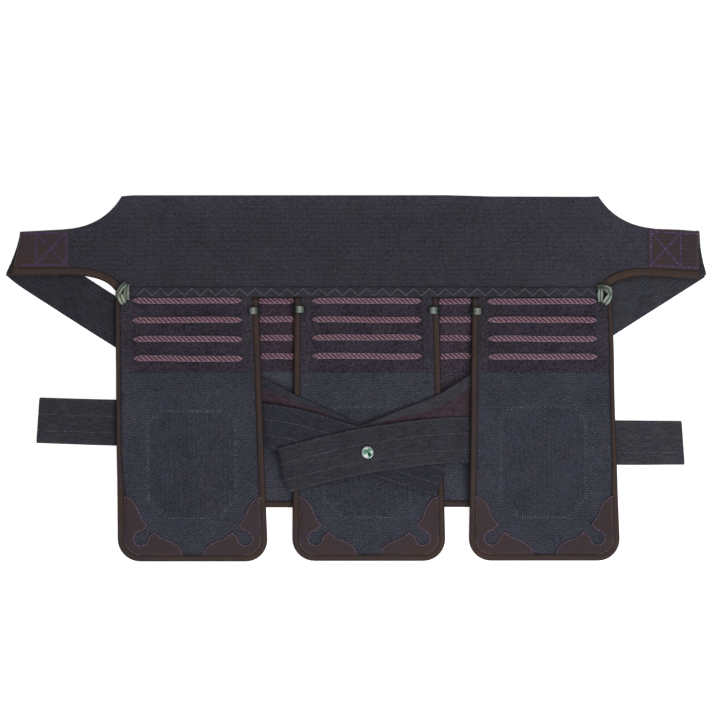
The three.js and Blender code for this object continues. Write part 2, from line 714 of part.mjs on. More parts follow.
// The joining strip bridges the gaps between the large flaps and reaches down to the small ones there
function addJoiningStrip() {
  const onPanel = SEAM_PANEL_BOTTOM + SEAM_PANEL_THICKNESS + GAP;
  const onSmall = SEAM_SMALL_TOP + GAP;
  const stations = [[STRIP_LEFT, onPanel]];
  for (const [before, after] of [[PANELS.left, PANELS.centre], [PANELS.centre, PANELS.right]]) {
    stations.push([before.seamRight, onPanel], [before.seamRight + STRIP_DIP, onSmall]);
    stations.push([after.seamLeft - STRIP_DIP, onSmall], [after.seamLeft, onPanel]);
  }
  stations.push([STRIP_RIGHT, onPanel]);
  const shoulderZ = STRIP_TOP_Z - STRIP_ROUND;
  addPiece('joining_strip', loft(stations.map(([x, bottom]) => [
    [STRIP_BOTTOM_Y, bottom], [SEAM_Y, bottom], [SEAM_Y, shoulderZ], [SEAM_Y - STRIP_ROUND, STRIP_TOP_Z],
    [STRIP_BOTTOM_Y + STRIP_ROUND, STRIP_TOP_Z], [STRIP_BOTTOM_Y, shoulderZ],
  ].map(([y, z]) => new THREE.Vector3(x, y, z)))), 'cloth');
}

// Knots, ties and the stud
function thong([x0, y0, x1, y1], bottom) {
  const start = new THREE.Vector3(x0, y0, 0);
  const end = new THREE.Vector3(x1, y1, 0);
  const along = end.clone().sub(start).normalize();
  const across = new THREE.Vector3(-along.y, along.x, 0).multiplyScalar(KNOT_THONG_WIDTH / 2);
  return loft(KNOT_ARCH.map((rise, i) => THONG_SECTION.map(([side, up]) => {
    const spot = start.clone().lerp(end, i / (KNOT_ARCH.length - 1)).addScaledVector(across, side);
    spot.z = bottom + up * (KNOT_THONG_THICKNESS + rise);
    return spot;
  })));
}

function addKnots() {
  for (const [name, { x, y, thongs }] of Object.entries(KNOTS)) {
    const bottom = BAND_THICKNESS + BINDING_PROUD + GAP;
    const solids = thongs.map((ends) => toSolid(thong(ends, bottom)));
    const knot = toGeometry(solids.reduce((whole, piece) => whole.add(piece)));
    knot.translate(x, y, 0);
    addPiece(`corner_knot_${name}`, knot, 'thong');
  }
}

function addTies() {
  TIES.forEach(({ panel, side, y }, index) => {
    const [left, right] = panelEdges(PANELS[panel], y);
    const x = side < 0 ? left + BINDING / 2 : right - BINDING / 2;
    const rest = Math.max(...[-0.5, 0.5].map((k) => heights[panel](x, y + k * TIE_LENGTH)[1]));
    const bottom = rest + BINDING_PROUD + GAP;
    const rings = [];
    for (let i = 0; i <= TIE_WRAPS * 2; i += 1) {
      const [narrow, low] = i % 2 === 0 ? [TIE_NARROWING, TIE_GROOVE] : [1, 1];
      const ringY = y + (i / (TIE_WRAPS * 2) - 0.5) * TIE_LENGTH;
      rings.push(TIE_PROFILE.map(([across, up]) => new THREE.Vector3(
        x + across * TIE_WIDTH / 2 * narrow, ringY, bottom + up * TIE_HEIGHT * low,
      )));
    }
    addPiece(`edge_tie_${index + 1}`, loft(rings), 'thong');
  });
}

function addStud(support) {
  const reach = STUD_RADIUS * Math.SQRT1_2;
  const spots = [[0, 0], [reach, reach], [-reach, reach], [reach, -reach], [-reach, -reach]];
  const seat = Math.max(...spots.map(([u, v]) => support(STUD_X + u, STUD_Y + v))) + STRAP_LEVEL;
  const wall = STONE_RADIUS + GAP;
  const cupProfile = [
    [0, 0], [STUD_RADIUS, 0], [STUD_RADIUS, STUD_SHOULDER], [mix(STUD_RADIUS, wall, 0.5), STUD_HEIGHT],
    [wall, STUD_LIP], [wall, STUD_FLOOR], [0, STUD_FLOOR],
  ].map(([r, z]) => plan(r, z));
  const cup = new THREE.LatheGeometry(cupProfile, STUD_SIDES);
  cup.rotateX(Math.PI / 2);
  cup.translate(STUD_X, STUD_Y, seat);
  addPiece('stud_cup', mergeVertices(stripToPositions(cup)), 'metal');

  const base = STUD_FLOOR + GAP;
  const stoneProfile = [
    [0, base], [STONE_TABLE, base], [STONE_RADIUS, STONE_GIRDLE[0]], [STONE_RADIUS, STONE_GIRDLE[1]],
    [STONE_TABLE, STONE_TOP], [0, STONE_TOP],
  ].map(([r, z]) => plan(r, z));
  const stone = new THREE.LatheGeometry(stoneProfile, STONE_FACETS);
  stone.rotateX(Math.PI / 2);
  stone.translate(STUD_X, STUD_Y, seat);
  addPiece('stud_stone', mergeVertices(stripToPositions(stone)), 'stone');
}

function stripToPositions(geometry) {
  geometry.deleteAttribute('normal');
  geometry.deleteAttribute('uv');
  return geometry;
}

addBand();
addJoiningStrip();
addFlaps();
const topStrapSupport = addStraps();
addKnots();
addTies();
addStud(topStrapSupport);

export default part;
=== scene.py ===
"""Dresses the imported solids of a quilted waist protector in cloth, leather, cord and thread.

Plans and routes are in millimetres, in the frame of the solids. Meshes, properties and the frame are in
metres.
"""

import math

import bmesh
import bpy
import numpy as np
from bpy.props import FloatProperty, FloatVectorProperty, IntProperty, PointerProperty
from bpy.types import NodeSocket, Operator, Panel, PropertyGroup
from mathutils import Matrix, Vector
from mathutils.geometry import delaunay_2d_cdt


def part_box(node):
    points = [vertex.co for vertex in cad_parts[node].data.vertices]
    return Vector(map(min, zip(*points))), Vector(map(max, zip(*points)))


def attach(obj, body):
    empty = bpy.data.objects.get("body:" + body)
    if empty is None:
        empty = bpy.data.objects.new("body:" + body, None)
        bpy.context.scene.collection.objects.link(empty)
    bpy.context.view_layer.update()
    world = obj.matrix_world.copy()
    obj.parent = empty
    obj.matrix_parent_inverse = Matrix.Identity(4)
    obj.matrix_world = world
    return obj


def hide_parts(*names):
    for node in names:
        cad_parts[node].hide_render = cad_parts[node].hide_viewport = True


bl_info = {
    "name": "Quilted waist protector",
    "version": (1, 0, 0),
    "blender": (4, 5, 0),
    "location": "View3D > Sidebar > Protector",
    "description": "Dresses the solids of a quilted waist protector in cloth, leather, cord and thread",
    "category": "Object",
}

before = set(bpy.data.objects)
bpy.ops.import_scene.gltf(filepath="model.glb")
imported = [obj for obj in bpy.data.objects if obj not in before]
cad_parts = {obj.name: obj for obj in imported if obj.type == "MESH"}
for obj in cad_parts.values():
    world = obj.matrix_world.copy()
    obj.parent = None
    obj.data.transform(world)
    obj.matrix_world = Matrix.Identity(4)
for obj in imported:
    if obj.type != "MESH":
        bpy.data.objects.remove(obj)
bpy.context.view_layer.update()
ROOT = "root"
MM = 0.001
TAU = 2 * math.pi

# Plan of the solids, in millimetres
GAP = 0.4
LAYER_GAP = 0.6

BAND_MIDDLE = 4.2
BAND_TOP = 192.0
BAND_BOTTOM = 96.0
BAND_THICKNESS = 9.0
BAND_TOP_HALF = 250.0
BAND_CORNER = 249.1
TAB_END = 356.5
TAB_TOP = 155.5
TAB_BINDING_Y = 112.0
TAB_BINDING_WIDTH = 7.6
SHOULDER = ((250.0, 192.0), (270.2, 159.0), (310.0, 155.5))
ELBOW = ((304.0, 112.0), (268.0, 111.5), (255.5, 96.6))
INNER_ELBOW = ((304.0, 116.2), (264.2, 115.3), (252.1, 99.3))
# Where the painted light on the band grows, along X and up Y
PAINTED_LIGHT_X = (60.0, 330.0)
PAINTED_LIGHT_Y = (165.0, 194.0)
TAB_LIFT = 4.9
LIFT_FROM = 236.0
LIFT_TO = 275.0
PATCH_INNER = {-1: 305.0, 1: 301.8}
PATCH_BOTTOM = 116.4
PATCH_TOP = 155.0
LEATHER = 1.1
STAIN_REACH = 1.1
PATCH_MARGIN = 0.6

# Slack of the cloth: the left tab's end slants out downwards, the right tab droops, the band's lower edge
# swells, the right flap flares at its top, and the outermost bindings show less of their width. The top edge
# rises and falls along X, and the tabs' ends draw in between their corners
TAB_SLANT = 9.5
SLANT_FROM = 305.0
TAB_DROOP = (3.2, 1.0)
DROOP_FROM = 280.0
TOP_PLACES = (-356.5, -308.0, -280.0, -254.0, -238.0, 90.0, 140.0, 240.0, 275.0, 305.0, 333.0, 356.5)
TOP_SHIFTS = (-1.5, 1.1, 0.0, -1.2, 0.2, 0.3, -1.1, -1.4, 0.6, 1.9, 1.5, 0.0)
END_DRAW = 1.8
END_DRAW_SPAN = (322.0, 352.0)
BINDING_TUCK = 2.6
BINDING_SWELL = 0.9
EDGE_SWELL = 0.5
EDGE_SWELL_Z = 5.0
FLARE = 2.0
FLARE_SPAN = (-60.0, 40.0)
NARROWED = {("left", -1): 1.8, ("right", 1): 1.8}
NARROWED_SPAN = (-118.0, -80.0)

SEAM_Y = 95.4
SEAM_BLEND_TOP = 88.0
SEAM_BLEND_BOTTOM = 55.0
SEAM_SMALL_TOP = 2.6
SEAM_PANEL_BOTTOM = 3.0
SEAM_PANEL_THICKNESS = 4.2
STRIP_BOTTOM = 85.6
STRIP_TOP_Z = 8.8
STRIP_ENDS = (-252.0, 259.6)
ZIGZAG_ENDS = (-230.0, 253.0)
ZIGZAG_LOW = 87.0

PANEL_THICKNESS = 6.0
SMALL_THICKNESS = 5.0
HEM_RADIUS = 23.6
BINDING = 6.0
BINDING_PROUD = 0.3
INSET = BINDING + GAP
PANELS = {
    "left": {"seam": (-252.5, -102.4), "hem": (-249.7, -92.0), "hem_y": -192.0},
    "centre": {"seam": (-64.6, 86.6), "hem": (-67.0, 94.2), "hem_y": -191.4},
    "right": {"seam": (121.5, 265.8), "hem": (118.0, 277.5), "hem_y": -191.1},
    "small_left": {"seam": (-154.5, -12.5), "hem": (-154.4, -6.4), "hem_y": -135.3},
    "small_right": {"seam": (33.0, 175.0), "hem": (31.5, 179.5), "hem_y": -134.9},
}
LARGE = ("left", "centre", "right")
SMALL = ("small_left", "small_right")
SMALL_WINDOWS = {"small_left": ("left", "centre"), "small_right": ("centre", "right")}
PLAIN_BOTTOM = {"small_right": -14.0}
# Painted light on the small flaps' plain cloth: darker on the left, paler on the right
SMALL_PAINTED_LIGHT = {"small_left": 0.9, "small_right": 1.05}

# Quilted octagons on the large flaps: left, right, bottom, top, and the cuts of the lower and upper corners
OCTAGONS = {
    "left": (-217.4, -126.0, -146.5, -34.0, 19.0, 13.0),
    "centre": (-32.6, 56.7, -145.4, -30.0, 19.0, 13.0),
    "right": (151.7, 240.7, -145.4, -30.0, 19.0, 13.0),
}

BRAID_LAYOUT = {
    "left": (81.4, 20.0),
    "centre": (81.4, 19.3),
    "right": (80.9, 19.4),
    "small_left": (81.4, 19.3),
    "small_right": (81.0, 19.2),
}
BRAID_ROWS = 4
BRAID_HALF_LENGTH = 57.0
BRAID_WIDTH = 7.4
BLUNT = 1.0

STRAP_WIDTH = 46.0
STRAP_THICKNESS = 1.8
STRAP_LEVEL = STRAP_THICKNESS + LAYER_GAP
STRAPS = {
    "left": {
        "sewn": ([(-309, 130.7), (-335, 130.6), (-358.2, 130.5)], 0.333),
        "under": ([(-358.2, 130.5), (-341, 116.6), (-310.8, 96.8), (-239.5, 51.5), (-174.3, 12.6),
                   (-106.2, -20.9), (-73.9, -37.2), (-46.5, -49.9), (-12.6, -65.2), (5, -72.2), (28, -75.6),
                   (58.8, -71.6), (105, -65.1), (172.2, -64.6), (256.2, -66.6), (341.4, -67.5)], -0.069),
        "over": ([(341.4, -67.5), (272, -67.6), (193.2, -65.1), (117.6, -63.8), (85.1, -65.2),
                  (41, -70.6), (2.1, -76.7), (-35.7, -85.3), (-75.6, -95.8)], None),
    },
    "right": {
        "sewn": ([(313, 130.8), (338, 130.9), (362.4, 131)], -0.145),
        "under": ([(362.4, 131), (314, 100.3), (263.7, 68.3), (193.2, 22.6), (129.8, -16.8),
                   (98.1, -36.4), (60.2, -52.2), (25.2, -66), (6, -73.4), (-14, -76.4),
                   (-48.3, -63.5), (-85.1, -51.5), (-127, -47.3), (-184.8, -46.2), (-249.9, -46.1),
                   (-331.9, -43.9)], 0.069),
        "over": ([(-331.9, -43.9), (-249.9, -46.6), (-184.8, -46.7), (-127, -47.8), (-98.7, -48.8),
                  (-62.6, -54.5), (-20.6, -66.7), (25.2, -80.3), (90, -101.1)], None),
    },
}

# Loose end of the left strap and far fold of the right one: how much wider, and from where to where
# along X, leftwards, the width grows
WIDER = {"left": (0.05, 160.0, 100.0), "right": (0.042, -150.0, -240.0)}

# How far each loose end reaches out beyond its square end, from its lower to its upper edge
END_SHAPE = {"left": ((-1.0, -0.45, 0.3, 1.0), (1.8, 3.2, 1.0, 0.0)), "right": ((-1.0, 1.0), (0.0, 2.6))}

# Width of the plain cloth beside the coloured lining on the reverse, by place along X
EDGE_CLOTH = {
    "left": ((-160.0, -99.0, -66.0, -40.0), (12.3, 9.6, 6.2, 5.0)),
    "right": ((42.0, 51.0, 66.0, 100.0), (5.9, 7.6, 10.4, 12.0)),
}

EASE_MARGIN = 4.0
SMALL_EASE = 60.0
CENTRE_EASE = 55.0
STRAP_EASE = 36.0
STRAP_ZONE_TOP = 14.0
STRAP_ZONE_BOTTOM = -116.0
STRAP_ZONE_EASE = 40.0

# Scalloped leather corner, measured in from the outer corner of the flap and mirrored on its diagonal
CORNER_REACH = 68.5
CORNER_EDGE = INSET + GAP / 4
CORNER_CURVES = (
    ((CORNER_EDGE, CORNER_REACH), (17.9, 67.7), (23.1, 51.4)),
    ((23.1, 51.4), (25.2, 44.1), (31.5, 38.9)),
    ((31.5, 38.9), (29.5, 35.0), (24.2, 31.2)),
)
KEYHOLE_CENTRE = 24.3
KEYHOLE_RADIUS = 6.9

# Knots: place, and for each thong its start, bend and end, its widths there, and the strength of its painted
# highlight to right and left
KNOTS = {
    "left": ((-243.6, 88.7), (
        (((2.4, 10.4), (-4.4, 6.2), (-7.2, -4.2)), (5.4, 6.2, 3.4), (1.2, 0.1)),
        (((-3.6, -1.2), (-2.2, -5.4), (0.2, -10.0)), (7.0, 7.4, 6.0), (1.3, 1.2)),
        (((4.9, 9.2), (1.8, 0.8), (4.2, -6.6)), (3.6, 7.0, 4.8), (1.1, 0.6)),
    )),
    "right": ((260.9, 88.2), (
        (((-8.0, 7.4), (-5.2, 8.0), (-1.5, 8.0)), (5.0, 5.4, 5.0), (0.0, 0.0)),
        (((-2.8, 6.8), (4.6, 7.4), (5.2, -1.4)), (5.6, 8.4, 4.2), (0.7, 0.5)),
        (((5.0, -1.2), (2.8, -5.4), (-0.6, -9.6)), (5.2, 7.4, 6.6), (1.2, 1.5)),
        (((-4.6, 6.2), (-5.8, -0.6), (-4.8, -7.6)), (5.0, 6.4, 5.0), (1.1, 1.3)),
    )),
}
TIES = (("left", 1, 71.0), ("centre", -1, 72.4), ("centre", 1, 71.3), ("right", -1, 70.4))
TIE_INSET = 5.2
TIE_REACH = 5.4
# Reaches past which a tie's turns are painted in shade, outwards and inwards
TIE_PAINTED_SHADE = (2.7, -4.4)
STUD = (12.1, -77.2)

# Painted reflections on the stone's facets, how light each is painted, counted from the right and turning
# left: table, stars, kites, upper girdle
FACET_PAINTED_LIGHT = (
    *(0.42, 0.32, 0.34, 0.36, 0.4, 0.85, 0.0, 0.02),
    *(0.62, 0.4, 0.48, 0.36, 0.42, 0.95, 0.1, 0.08),
    *(0.8, 0.45, 0.5, 0.55, 0.62, 0.85, 0.9, 0.1),
    *(0.9, 0.42, 0.9, 0.55, 0.62, 0.9, 0.6, 0.15),
    *(1.0, 0.5, 0.95, 0.6, 0.66, 0.95, 0.65, 0.35),
    *(0.6, 0.55, 0.75, 0.7, 0.8, 1.0, 0.4, 0.6),
)


def linear(red, green, blue):
    """Scene colour of an sRGB colour given in steps of 255."""
    return tuple(((c / 255 + 0.055) / 1.055) ** 2.4 for c in (red, green, blue))


def length(name, text, millimetres):
    """A length that a user may change, stored in metres."""
    size = millimetres * MM
    return FloatProperty(name=name, description=text, default=size, min=0, unit="LENGTH", precision=5)


def share(name, text, value, most=1.0, least=0.0):
    """A plain number that a user may change."""
    return FloatProperty(name=name, description=text, default=value, min=least, max=most)


def count_of(name, text, value):
    """A whole number that a user may change."""
    return IntProperty(name=name, description=text, default=value, min=1, max=6)


def place_at(name, text, millimetres):
    """A place along an axis that a user may change, stored in metres."""
    return FloatProperty(name=name, description=text, default=millimetres * MM, unit="LENGTH", precision=5)


def colour(name, text, tint):
    """A colour that a user may change, given in sRGB steps of 255."""
    return FloatVectorProperty(
        name=name, description=text, default=linear(*tint), min=0, max=1, size=3, subtype="COLOR"
    )


class BandSettings(PropertyGroup):
    """Sizes of the quilted band and of what is sewn on it."""

    row_pitch: length("Row pitch", "Distance between the rows of quilting", 4.9)
    tick_pitch: length("Tick pitch", "Distance between the stitches in a row", 2.97)
    tick_length: length("Tick length", "Length of one upright stitch", 2.5)
    puff: length("Puff", "How far the quilting pulls the cloth in", 0.4)
    edge_round: length("Edge round", "Radius of the band's upper edges", 3.0)
    plain_edge: length("Plain edge", "Width of the unquilted strip along the top", 9.0)
    zigzag_pitch: length("Zigzag pitch", "Length of one zigzag of the joining strip", 16.6)
    zigzag_height: length("Zigzag height", "Height of the zigzag", 7.2)
    zigzag_thread: length("Zigzag thread", "Radius of the zigzag's thread", 0.85)


class FlapSettings(PropertyGroup):
    """Sizes of the quilted flaps."""

    row_pitch: length("Row pitch", "Distance between the wavy rows of quilting", 2.65)
    stitch_pitch: length("Stitch pitch", "Distance between the stitches in a row", 2.45)
    stitch_length: length("Stitch length", "Length of one stitch of a wavy row", 1.75)
    wave: length("Wave", "How far a row swings up and down", 0.5)
    wave_length: length("Wave length", "Length of one swing of a row", 9.8)
    puff: length("Puff", "How far the rows pull the cloth in", 0.32)
    column_pitch: length("Column pitch", "Distance between the upright rows inside the octagon", 4.7)
    column_stitch: length("Column stitch", "Length of one upright stitch", 2.9)
    yoke_bottom: place_at("Yoke bottom", "Where the plain upper part ends, up from the object's middle", 6.8)
    yoke_margin: length("Yoke margin", "Width of the dark cloth beside the plain upper part", 11.5)
    edge_seam: length("Edge seam", "Distance of the seam from the binding", 1.8)


class StrapSettings(PropertyGroup):
    """Sizes of the tie straps' sewing."""

    stitch_pitch: length("Stitch pitch", "Distance between stitches", 2.5)
    stitch_length: length("Stitch length", "Length of one stitch", 1.9)
    groove: length("Groove", "How far a seam pulls the strap in", 0.22)


class CordSettings(PropertyGroup):
    """Sizes of the laid cords across the flaps."""

    lead: length("Lead", "Length of one full turn of a strand", 20.6)
    strand: length("Strand", "Radius of one strand", 0.43)
    half_width: length("Half width", "How far a strand swings to the side", 2.65)
    rise: length("Rise", "How far a strand swings up and down", 0.9)
    taper: length("Taper", "Length of the pointed end", 6.5)
    step: length("Step", "Distance between the rings of a strand", 1.2)


class TrimSettings(PropertyGroup):
    """Sizes of the leather trim, the knots, the ties and the stud."""

    stitch_pitch: length("Stitch pitch", "Distance between stitches on leather", 2.8)
    stitch_length: length("Stitch length", "Length of one stitch on leather", 1.4)
    corner_seam: length("Corner seam", "Distance of the seam from the edge of a corner", 0.9)
    leather_round: length("Leather round", "Radius of the cut edges of the leather", 0.7)
    thong_thickness: length("Thong thickness", "Thickness of a knot's thong", 2.2)
    # Strength of the painted highlight on the thongs' ridges
    thong_highlight: share("Thong shine", "How pale the ridges of the thongs are", 1.3, 3)
    thong_ridges: count_of("Thong ridges", "Strands side by side in a knot's thong", 2)
    tie_wraps: count_of("Tie wraps", "Turns of thong in an edge tie", 2)
    tie_height: length("Tie height", "Height of all turns of an edge tie", 6.8)
    stud_radius: length("Stud radius", "Outer radius of the set stone's cup", 6.6)
    stone_radius: length("Stone radius", "Radius of the stone's girdle", 5.3)
    stone_table: length("Stone table", "Radius of the stone's flat top", 2.9)


# Finishes: what they are on, and the colours of its low and high parts
SHADES = {
    "band": ("the band's cloth", (37, 36, 43), (59, 58, 67)),
    "flap": ("the flaps' cloth", (37, 38, 46), (61, 62, 73)),
    "yoke": ("the plain cloth under the cords", (32, 27, 36), (60, 53, 65)),
    "margin": ("the plain cloth beside the cords", (38, 34, 42), (63, 58, 68)),
    "small": ("the small flaps' plain cloth", (38, 31, 40), (70, 59, 71)),
    "face_left": ("the left strap's cloth", (39, 38, 45), (58, 57, 64)),
    "face_right": ("the right strap's cloth", (34, 34, 43), (51, 51, 62)),
    "reverse_left": ("the left strap's reverse", (40, 39, 48), (59, 58, 67)),
    "reverse_right": ("the right strap's reverse", (46, 45, 51), (67, 66, 73)),
    "far_left": ("the left strap's far end", (43, 43, 49), (63, 63, 70)),
    "far_right": ("the right strap's far end", (38, 38, 43), (56, 56, 63)),
    "lining": ("the straps' coloured lining", (50, 37, 44), (70, 56, 64)),
    "dull_left": ("the left strap near the tab", (34, 34, 40), (51, 51, 59)),
    "dull_right": ("the right strap near the tab", (42, 43, 49), (62, 63, 70)),
    "leather": ("the leather", (46, 35, 38), (64, 50, 53)),
    "piping": ("the bindings", (44, 32, 31), (59, 44, 38)),
    # The cords' low colour is painted shade on low strands and on the core; their high colour is their lit
    # tops
    "cord": ("the cords", (58, 27, 33), (150, 120, 135)),
    "thong": ("the pale thongs", (44, 52, 45), (80, 90, 79)),
    # Painted shade at the ends of the ties
    "ends": ("the ties' tarnished ends", (18, 21, 20), (32, 36, 35)),
}

# Single colours: what has them
TINTS = {
    "leather_worn": ("Rubbed edges of the leather", (74, 61, 59)),
    # Painted shade on the rolled outer side of the bindings
    "piping_edge": ("Outer edge of the bindings", (26, 19, 19)),
    # Colour of the painted highlight on the thongs' ridges and on the ties
    "thong_bright": ("Ridges of the pale thongs", (178, 185, 173)),
    "yoke_thread": ("Stitches under the plain cloth", (34, 33, 41)),
    "quilt_thread": ("Stitches of the wavy quilting", (86, 89, 102)),
    "small_thread": ("Stitches of the small flaps' quilting", (104, 106, 110)),
    "column_thread": ("Upright stitches inside the octagons", (74, 75, 86)),
    "band_thread": ("Stitches of the band", (71, 71, 81)),
    "outline_thread": ("Stitches round the octagons", (110, 118, 119)),
    "strap_thread": ("Stitches of the straps", (98, 100, 107)),
    "violet_left": ("Stitches on the left patch", (100, 83, 116)),
    "violet_right": ("Stitches on the right patch", (122, 104, 141)),
    "stain": ("Leather under the patches' stitches", (60, 47, 80)),
    "corner_thread": ("Stitches along the leather corners", (140, 118, 158)),
    "rim_thread": ("Stitches of the leather corners beside the binding", (112, 98, 106)),
    "reverse_thread": ("Stitches on the straps' reverse", (70, 68, 77)),
    "zigzag_colour": ("Thread of the zigzag on the joining strip", (78, 71, 81)),
    "metal": ("Cup of the stud", (214, 220, 216)),
    # Colours of the stone's facets, from painted shade to a painted flash of reflected light
    "stone_deep": ("Dark facets of the stone", (18, 56, 40)),
    "stone": ("Facets of the stone of middling light", (72, 126, 104)),
    "stone_pale": ("Pale facets of the stone", (150, 186, 170)),
    "stone_bright": ("Facets of the stone that flash", (246, 254, 250)),
}


def finish_colours():
    """Colour properties of all finishes."""
    rows = dict(TINTS)
    for key, (what, dark, light) in SHADES.items():
        rows[f"{key}_dark"] = (f"Low parts of {what}", dark)
        rows[f"{key}_light"] = (f"High parts of {what}", light)
    return {key: colour(key.replace("_", " ").capitalize(), *row) for key, row in rows.items()}


class FinishSettings(PropertyGroup):
    """Colours of the cloth, leather, cord, thread, metal and stone."""

    # Painted light on the band: how much paler its cloth is painted at its top and to the right
    band_painted_light: share("Band fade", "How much paler the band's cloth is at its top and to the right", 1.25, 3)
    # Painted light on the small flaps' quilting, which the large flaps shade
    small_painted_light: share("Small gain", "How much paler the small flaps' quilting is", 1.42, 3)
    __annotations__.update(finish_colours())


class StageSettings(PropertyGroup):
    """Camera, floor and light."""

    lens: share("Lens", "Focal length of the camera in millimetres", 180, 5000, 20)
    view_width: length("View width", "Width of the table that the picture takes in", 756)
    view_x: place_at("View X", "Middle of the picture", 4.2)
    view_y: place_at("View Y", "Middle of the picture", 19.4)
    key_power: share("Key power", "Power of the front light in watts", 52, 5000)
    fill_power: share("Fill power", "Power of the rear light in watts", 17, 5000)
    sky: share("Sky", "Strength of the even light from all sides", 0.42, 5)
    floor: colour("Floor", "Colour of the floor", (244, 244, 244))
    floor_glow: share("Floor glow", "Light that the floor gives by itself", 0.7, 2)


# Plan curves and distances


def bezier(curve, t):
    """Points of a quadratic curve."""
    start, bend, end = (np.array(p, float) for p in curve)
    t = np.asarray(t, float)[:, None]
    return start * (1 - t) ** 2 + 2 * bend * t * (1 - t) + end * t**2


def smoothstep(value, low, high):
    """0 below low, 1 above high, and smooth between."""
    t = np.clip((np.asarray(value, float) - low) / (high - low), 0, 1)
    return t * t * (3 - 2 * t)


def respace(line, step):
    """The same polyline with points a step apart."""
    run = np.concatenate([[0], np.cumsum(np.linalg.norm(np.diff(line, axis=0), axis=1))])
    count = max(2, round(run[-1] / step) + 1)
    stops = np.linspace(0, run[-1], count)
    return np.stack([np.interp(stops, run, line[:, k]) for k in range(line.shape[1])], -1)


def smooth_line(route, step):
    """A smooth line through a route's points, with points a step apart."""
    route = np.array(route, float)
    padded = np.vstack([2 * route[0] - route[1], route, 2 * route[-1] - route[-2]])
    t = np.linspace(0, 1, 40, endpoint=False)[:, None]
    pieces = []
    for a, b, c, d in zip(padded[:-3], padded[1:-2], padded[2:-1], padded[3:]):
        before, here, after = (math.sqrt(math.dist(p, q)) for p, q in ((a, b), (b, c), (c, d)))
        leave = ((b - a) / before - (c - a) / (before + here) + (c - b) / here) * here
        reach = ((c - b) / here - (d - b) / (here + after) + (d - c) / after) * here
        square = 3 * (c - b) - 2 * leave - reach
        pieces.append(b + leave * t + square * t**2 + (2 * (b - c) + leave + reach) * t**3)
    return respace(np.vstack([*pieces, route[-1:]]), step)


def tangents(line):
    """Unit directions along a polyline."""
    way = np.gradient(line, axis=0)
    return way / np.linalg.norm(way, axis=1, keepdims=True)


def off_line(line, x, y):
    """Distance of plan points from a polyline."""
    spots = np.stack([np.ravel(x), np.ravel(y)], -1)
    start = line[:-1]
    way = np.diff(line, axis=0)
    best = np.full(len(spots), np.inf)
    for a, w in zip(start, way):
        reach = np.clip((spots - a) @ w / (w @ w), 0, 1)
        gap = spots - a - reach[:, None] * w
        best = np.minimum(best, (gap**2).sum(1))
    return np.sqrt(best).reshape(np.shape(x))


def inside(outline, x, y):
    """Which plan points lie inside a closed outline."""
    found = np.zeros(np.shape(x), bool)
    for (ax, ay), (bx, by) in zip(outline, np.roll(outline, -1, axis=0)):
        crosses = (ay > y) != (by > y)
        if ay != by:
            found ^= crosses & (x < (bx - ax) * (y - ay) / (by - ay) + ax)
    return found


# Heights of the layers, as in the solids


def ease_down(distance, run):
    """1 up to the edge, easing down to 0 one run away from it."""
    t = np.clip((distance - EASE_MARGIN) / run, 0, 1)
    return 0.5 * (1 + np.cos(np.pi * t))


def panel_edges(name, y):
    """Left and right edge of a flap at a height in the plan."""
    panel = PANELS[name]
    t = (SEAM_Y - np.asarray(y, float)) / (SEAM_Y - panel["hem_y"])
    left, right = (s + (h - s) * t for s, h in zip(panel["seam"], panel["hem"]))
    return left, right + (FLARE * smoothstep(y, *FLARE_SPAN) if name == "right" else 0.0)


def binding_width(name, side, y):
    """Width of a flap's binding that shows at a height, on the left side for -1 and on the right for 1."""
    return BINDING - NARROWED.get((name, side), 0.0) * smoothstep(y, *NARROWED_SPAN)


def panel_layer(name, thickness, run):
    """How high a flap lifts what lies on it."""
    height = thickness + BINDING_PROUD + LAYER_GAP

    def layer(x, y):
        left, right = panel_edges(name, y)
        beside = np.maximum(np.maximum(left - x, x - right), 0)
        below = np.maximum(PANELS[name]["hem_y"] - y, 0)
        return height * ease_down(np.hypot(beside, below), run)

    return layer


def strap_layer(strap, run):
    """How high a run of a strap lifts what lies on it."""
    line = smooth_line(STRAPS[strap][run][0], 12)
    return lambda x, y: STRAP_LEVEL * ease_down(off_line(line, x, y) - STRAP_WIDTH / 2, STRAP_EASE)


SMALL_LEFT = panel_layer("small_left", SMALL_THICKNESS, SMALL_EASE)
SMALL_RIGHT = panel_layer("small_right", SMALL_THICKNESS, SMALL_EASE)
CENTRE = panel_layer("centre", PANEL_THICKNESS, CENTRE_EASE)


def centre_rise(x, y):
    """Lift of the outer flaps where the straps climb onto the centre flap."""
    outside = np.maximum(y - STRAP_ZONE_TOP, STRAP_ZONE_BOTTOM - y)
    return CENTRE(x, y) * ease_down(outside, STRAP_ZONE_EASE)


LAYERS = {
    "smalls": lambda x, y: np.maximum(SMALL_LEFT(x, y), SMALL_RIGHT(x, y)),
    "centre": CENTRE,
    "centre_rise": centre_rise,
    "left_under": strap_layer("left", "under"),
    "right_under": strap_layer("right", "under"),
    "right_over": strap_layer("right", "over"),
    "left_over": strap_layer("left", "over"),
}
SUPPORTS = {
    "left": ("smalls", "centre_rise", "left_under", "right_under", "right_over"),
    "centre": ("smalls",),
    "right": ("smalls", "centre_rise", "left_under", "right_under", "right_over", "left_over"),
    "strap_left_under": ("smalls", "centre"),
    "strap_left_over": ("smalls", "centre", "left_under", "right_under", "right_over"),
    "strap_right_under": ("smalls", "centre", "left_under"),
    "strap_right_over": ("smalls", "centre", "left_under", "right_under"),
}


def support(name, x, y):
    """Height of what a piece lies on."""
    return sum(LAYERS[layer](x, y) for layer in SUPPORTS[name])


def seam_share(y):
    """0 at the sewn tops of the flaps, 1 where they hang free."""
    return 1 - smoothstep(y, SEAM_BLEND_BOTTOM, SEAM_BLEND_TOP)


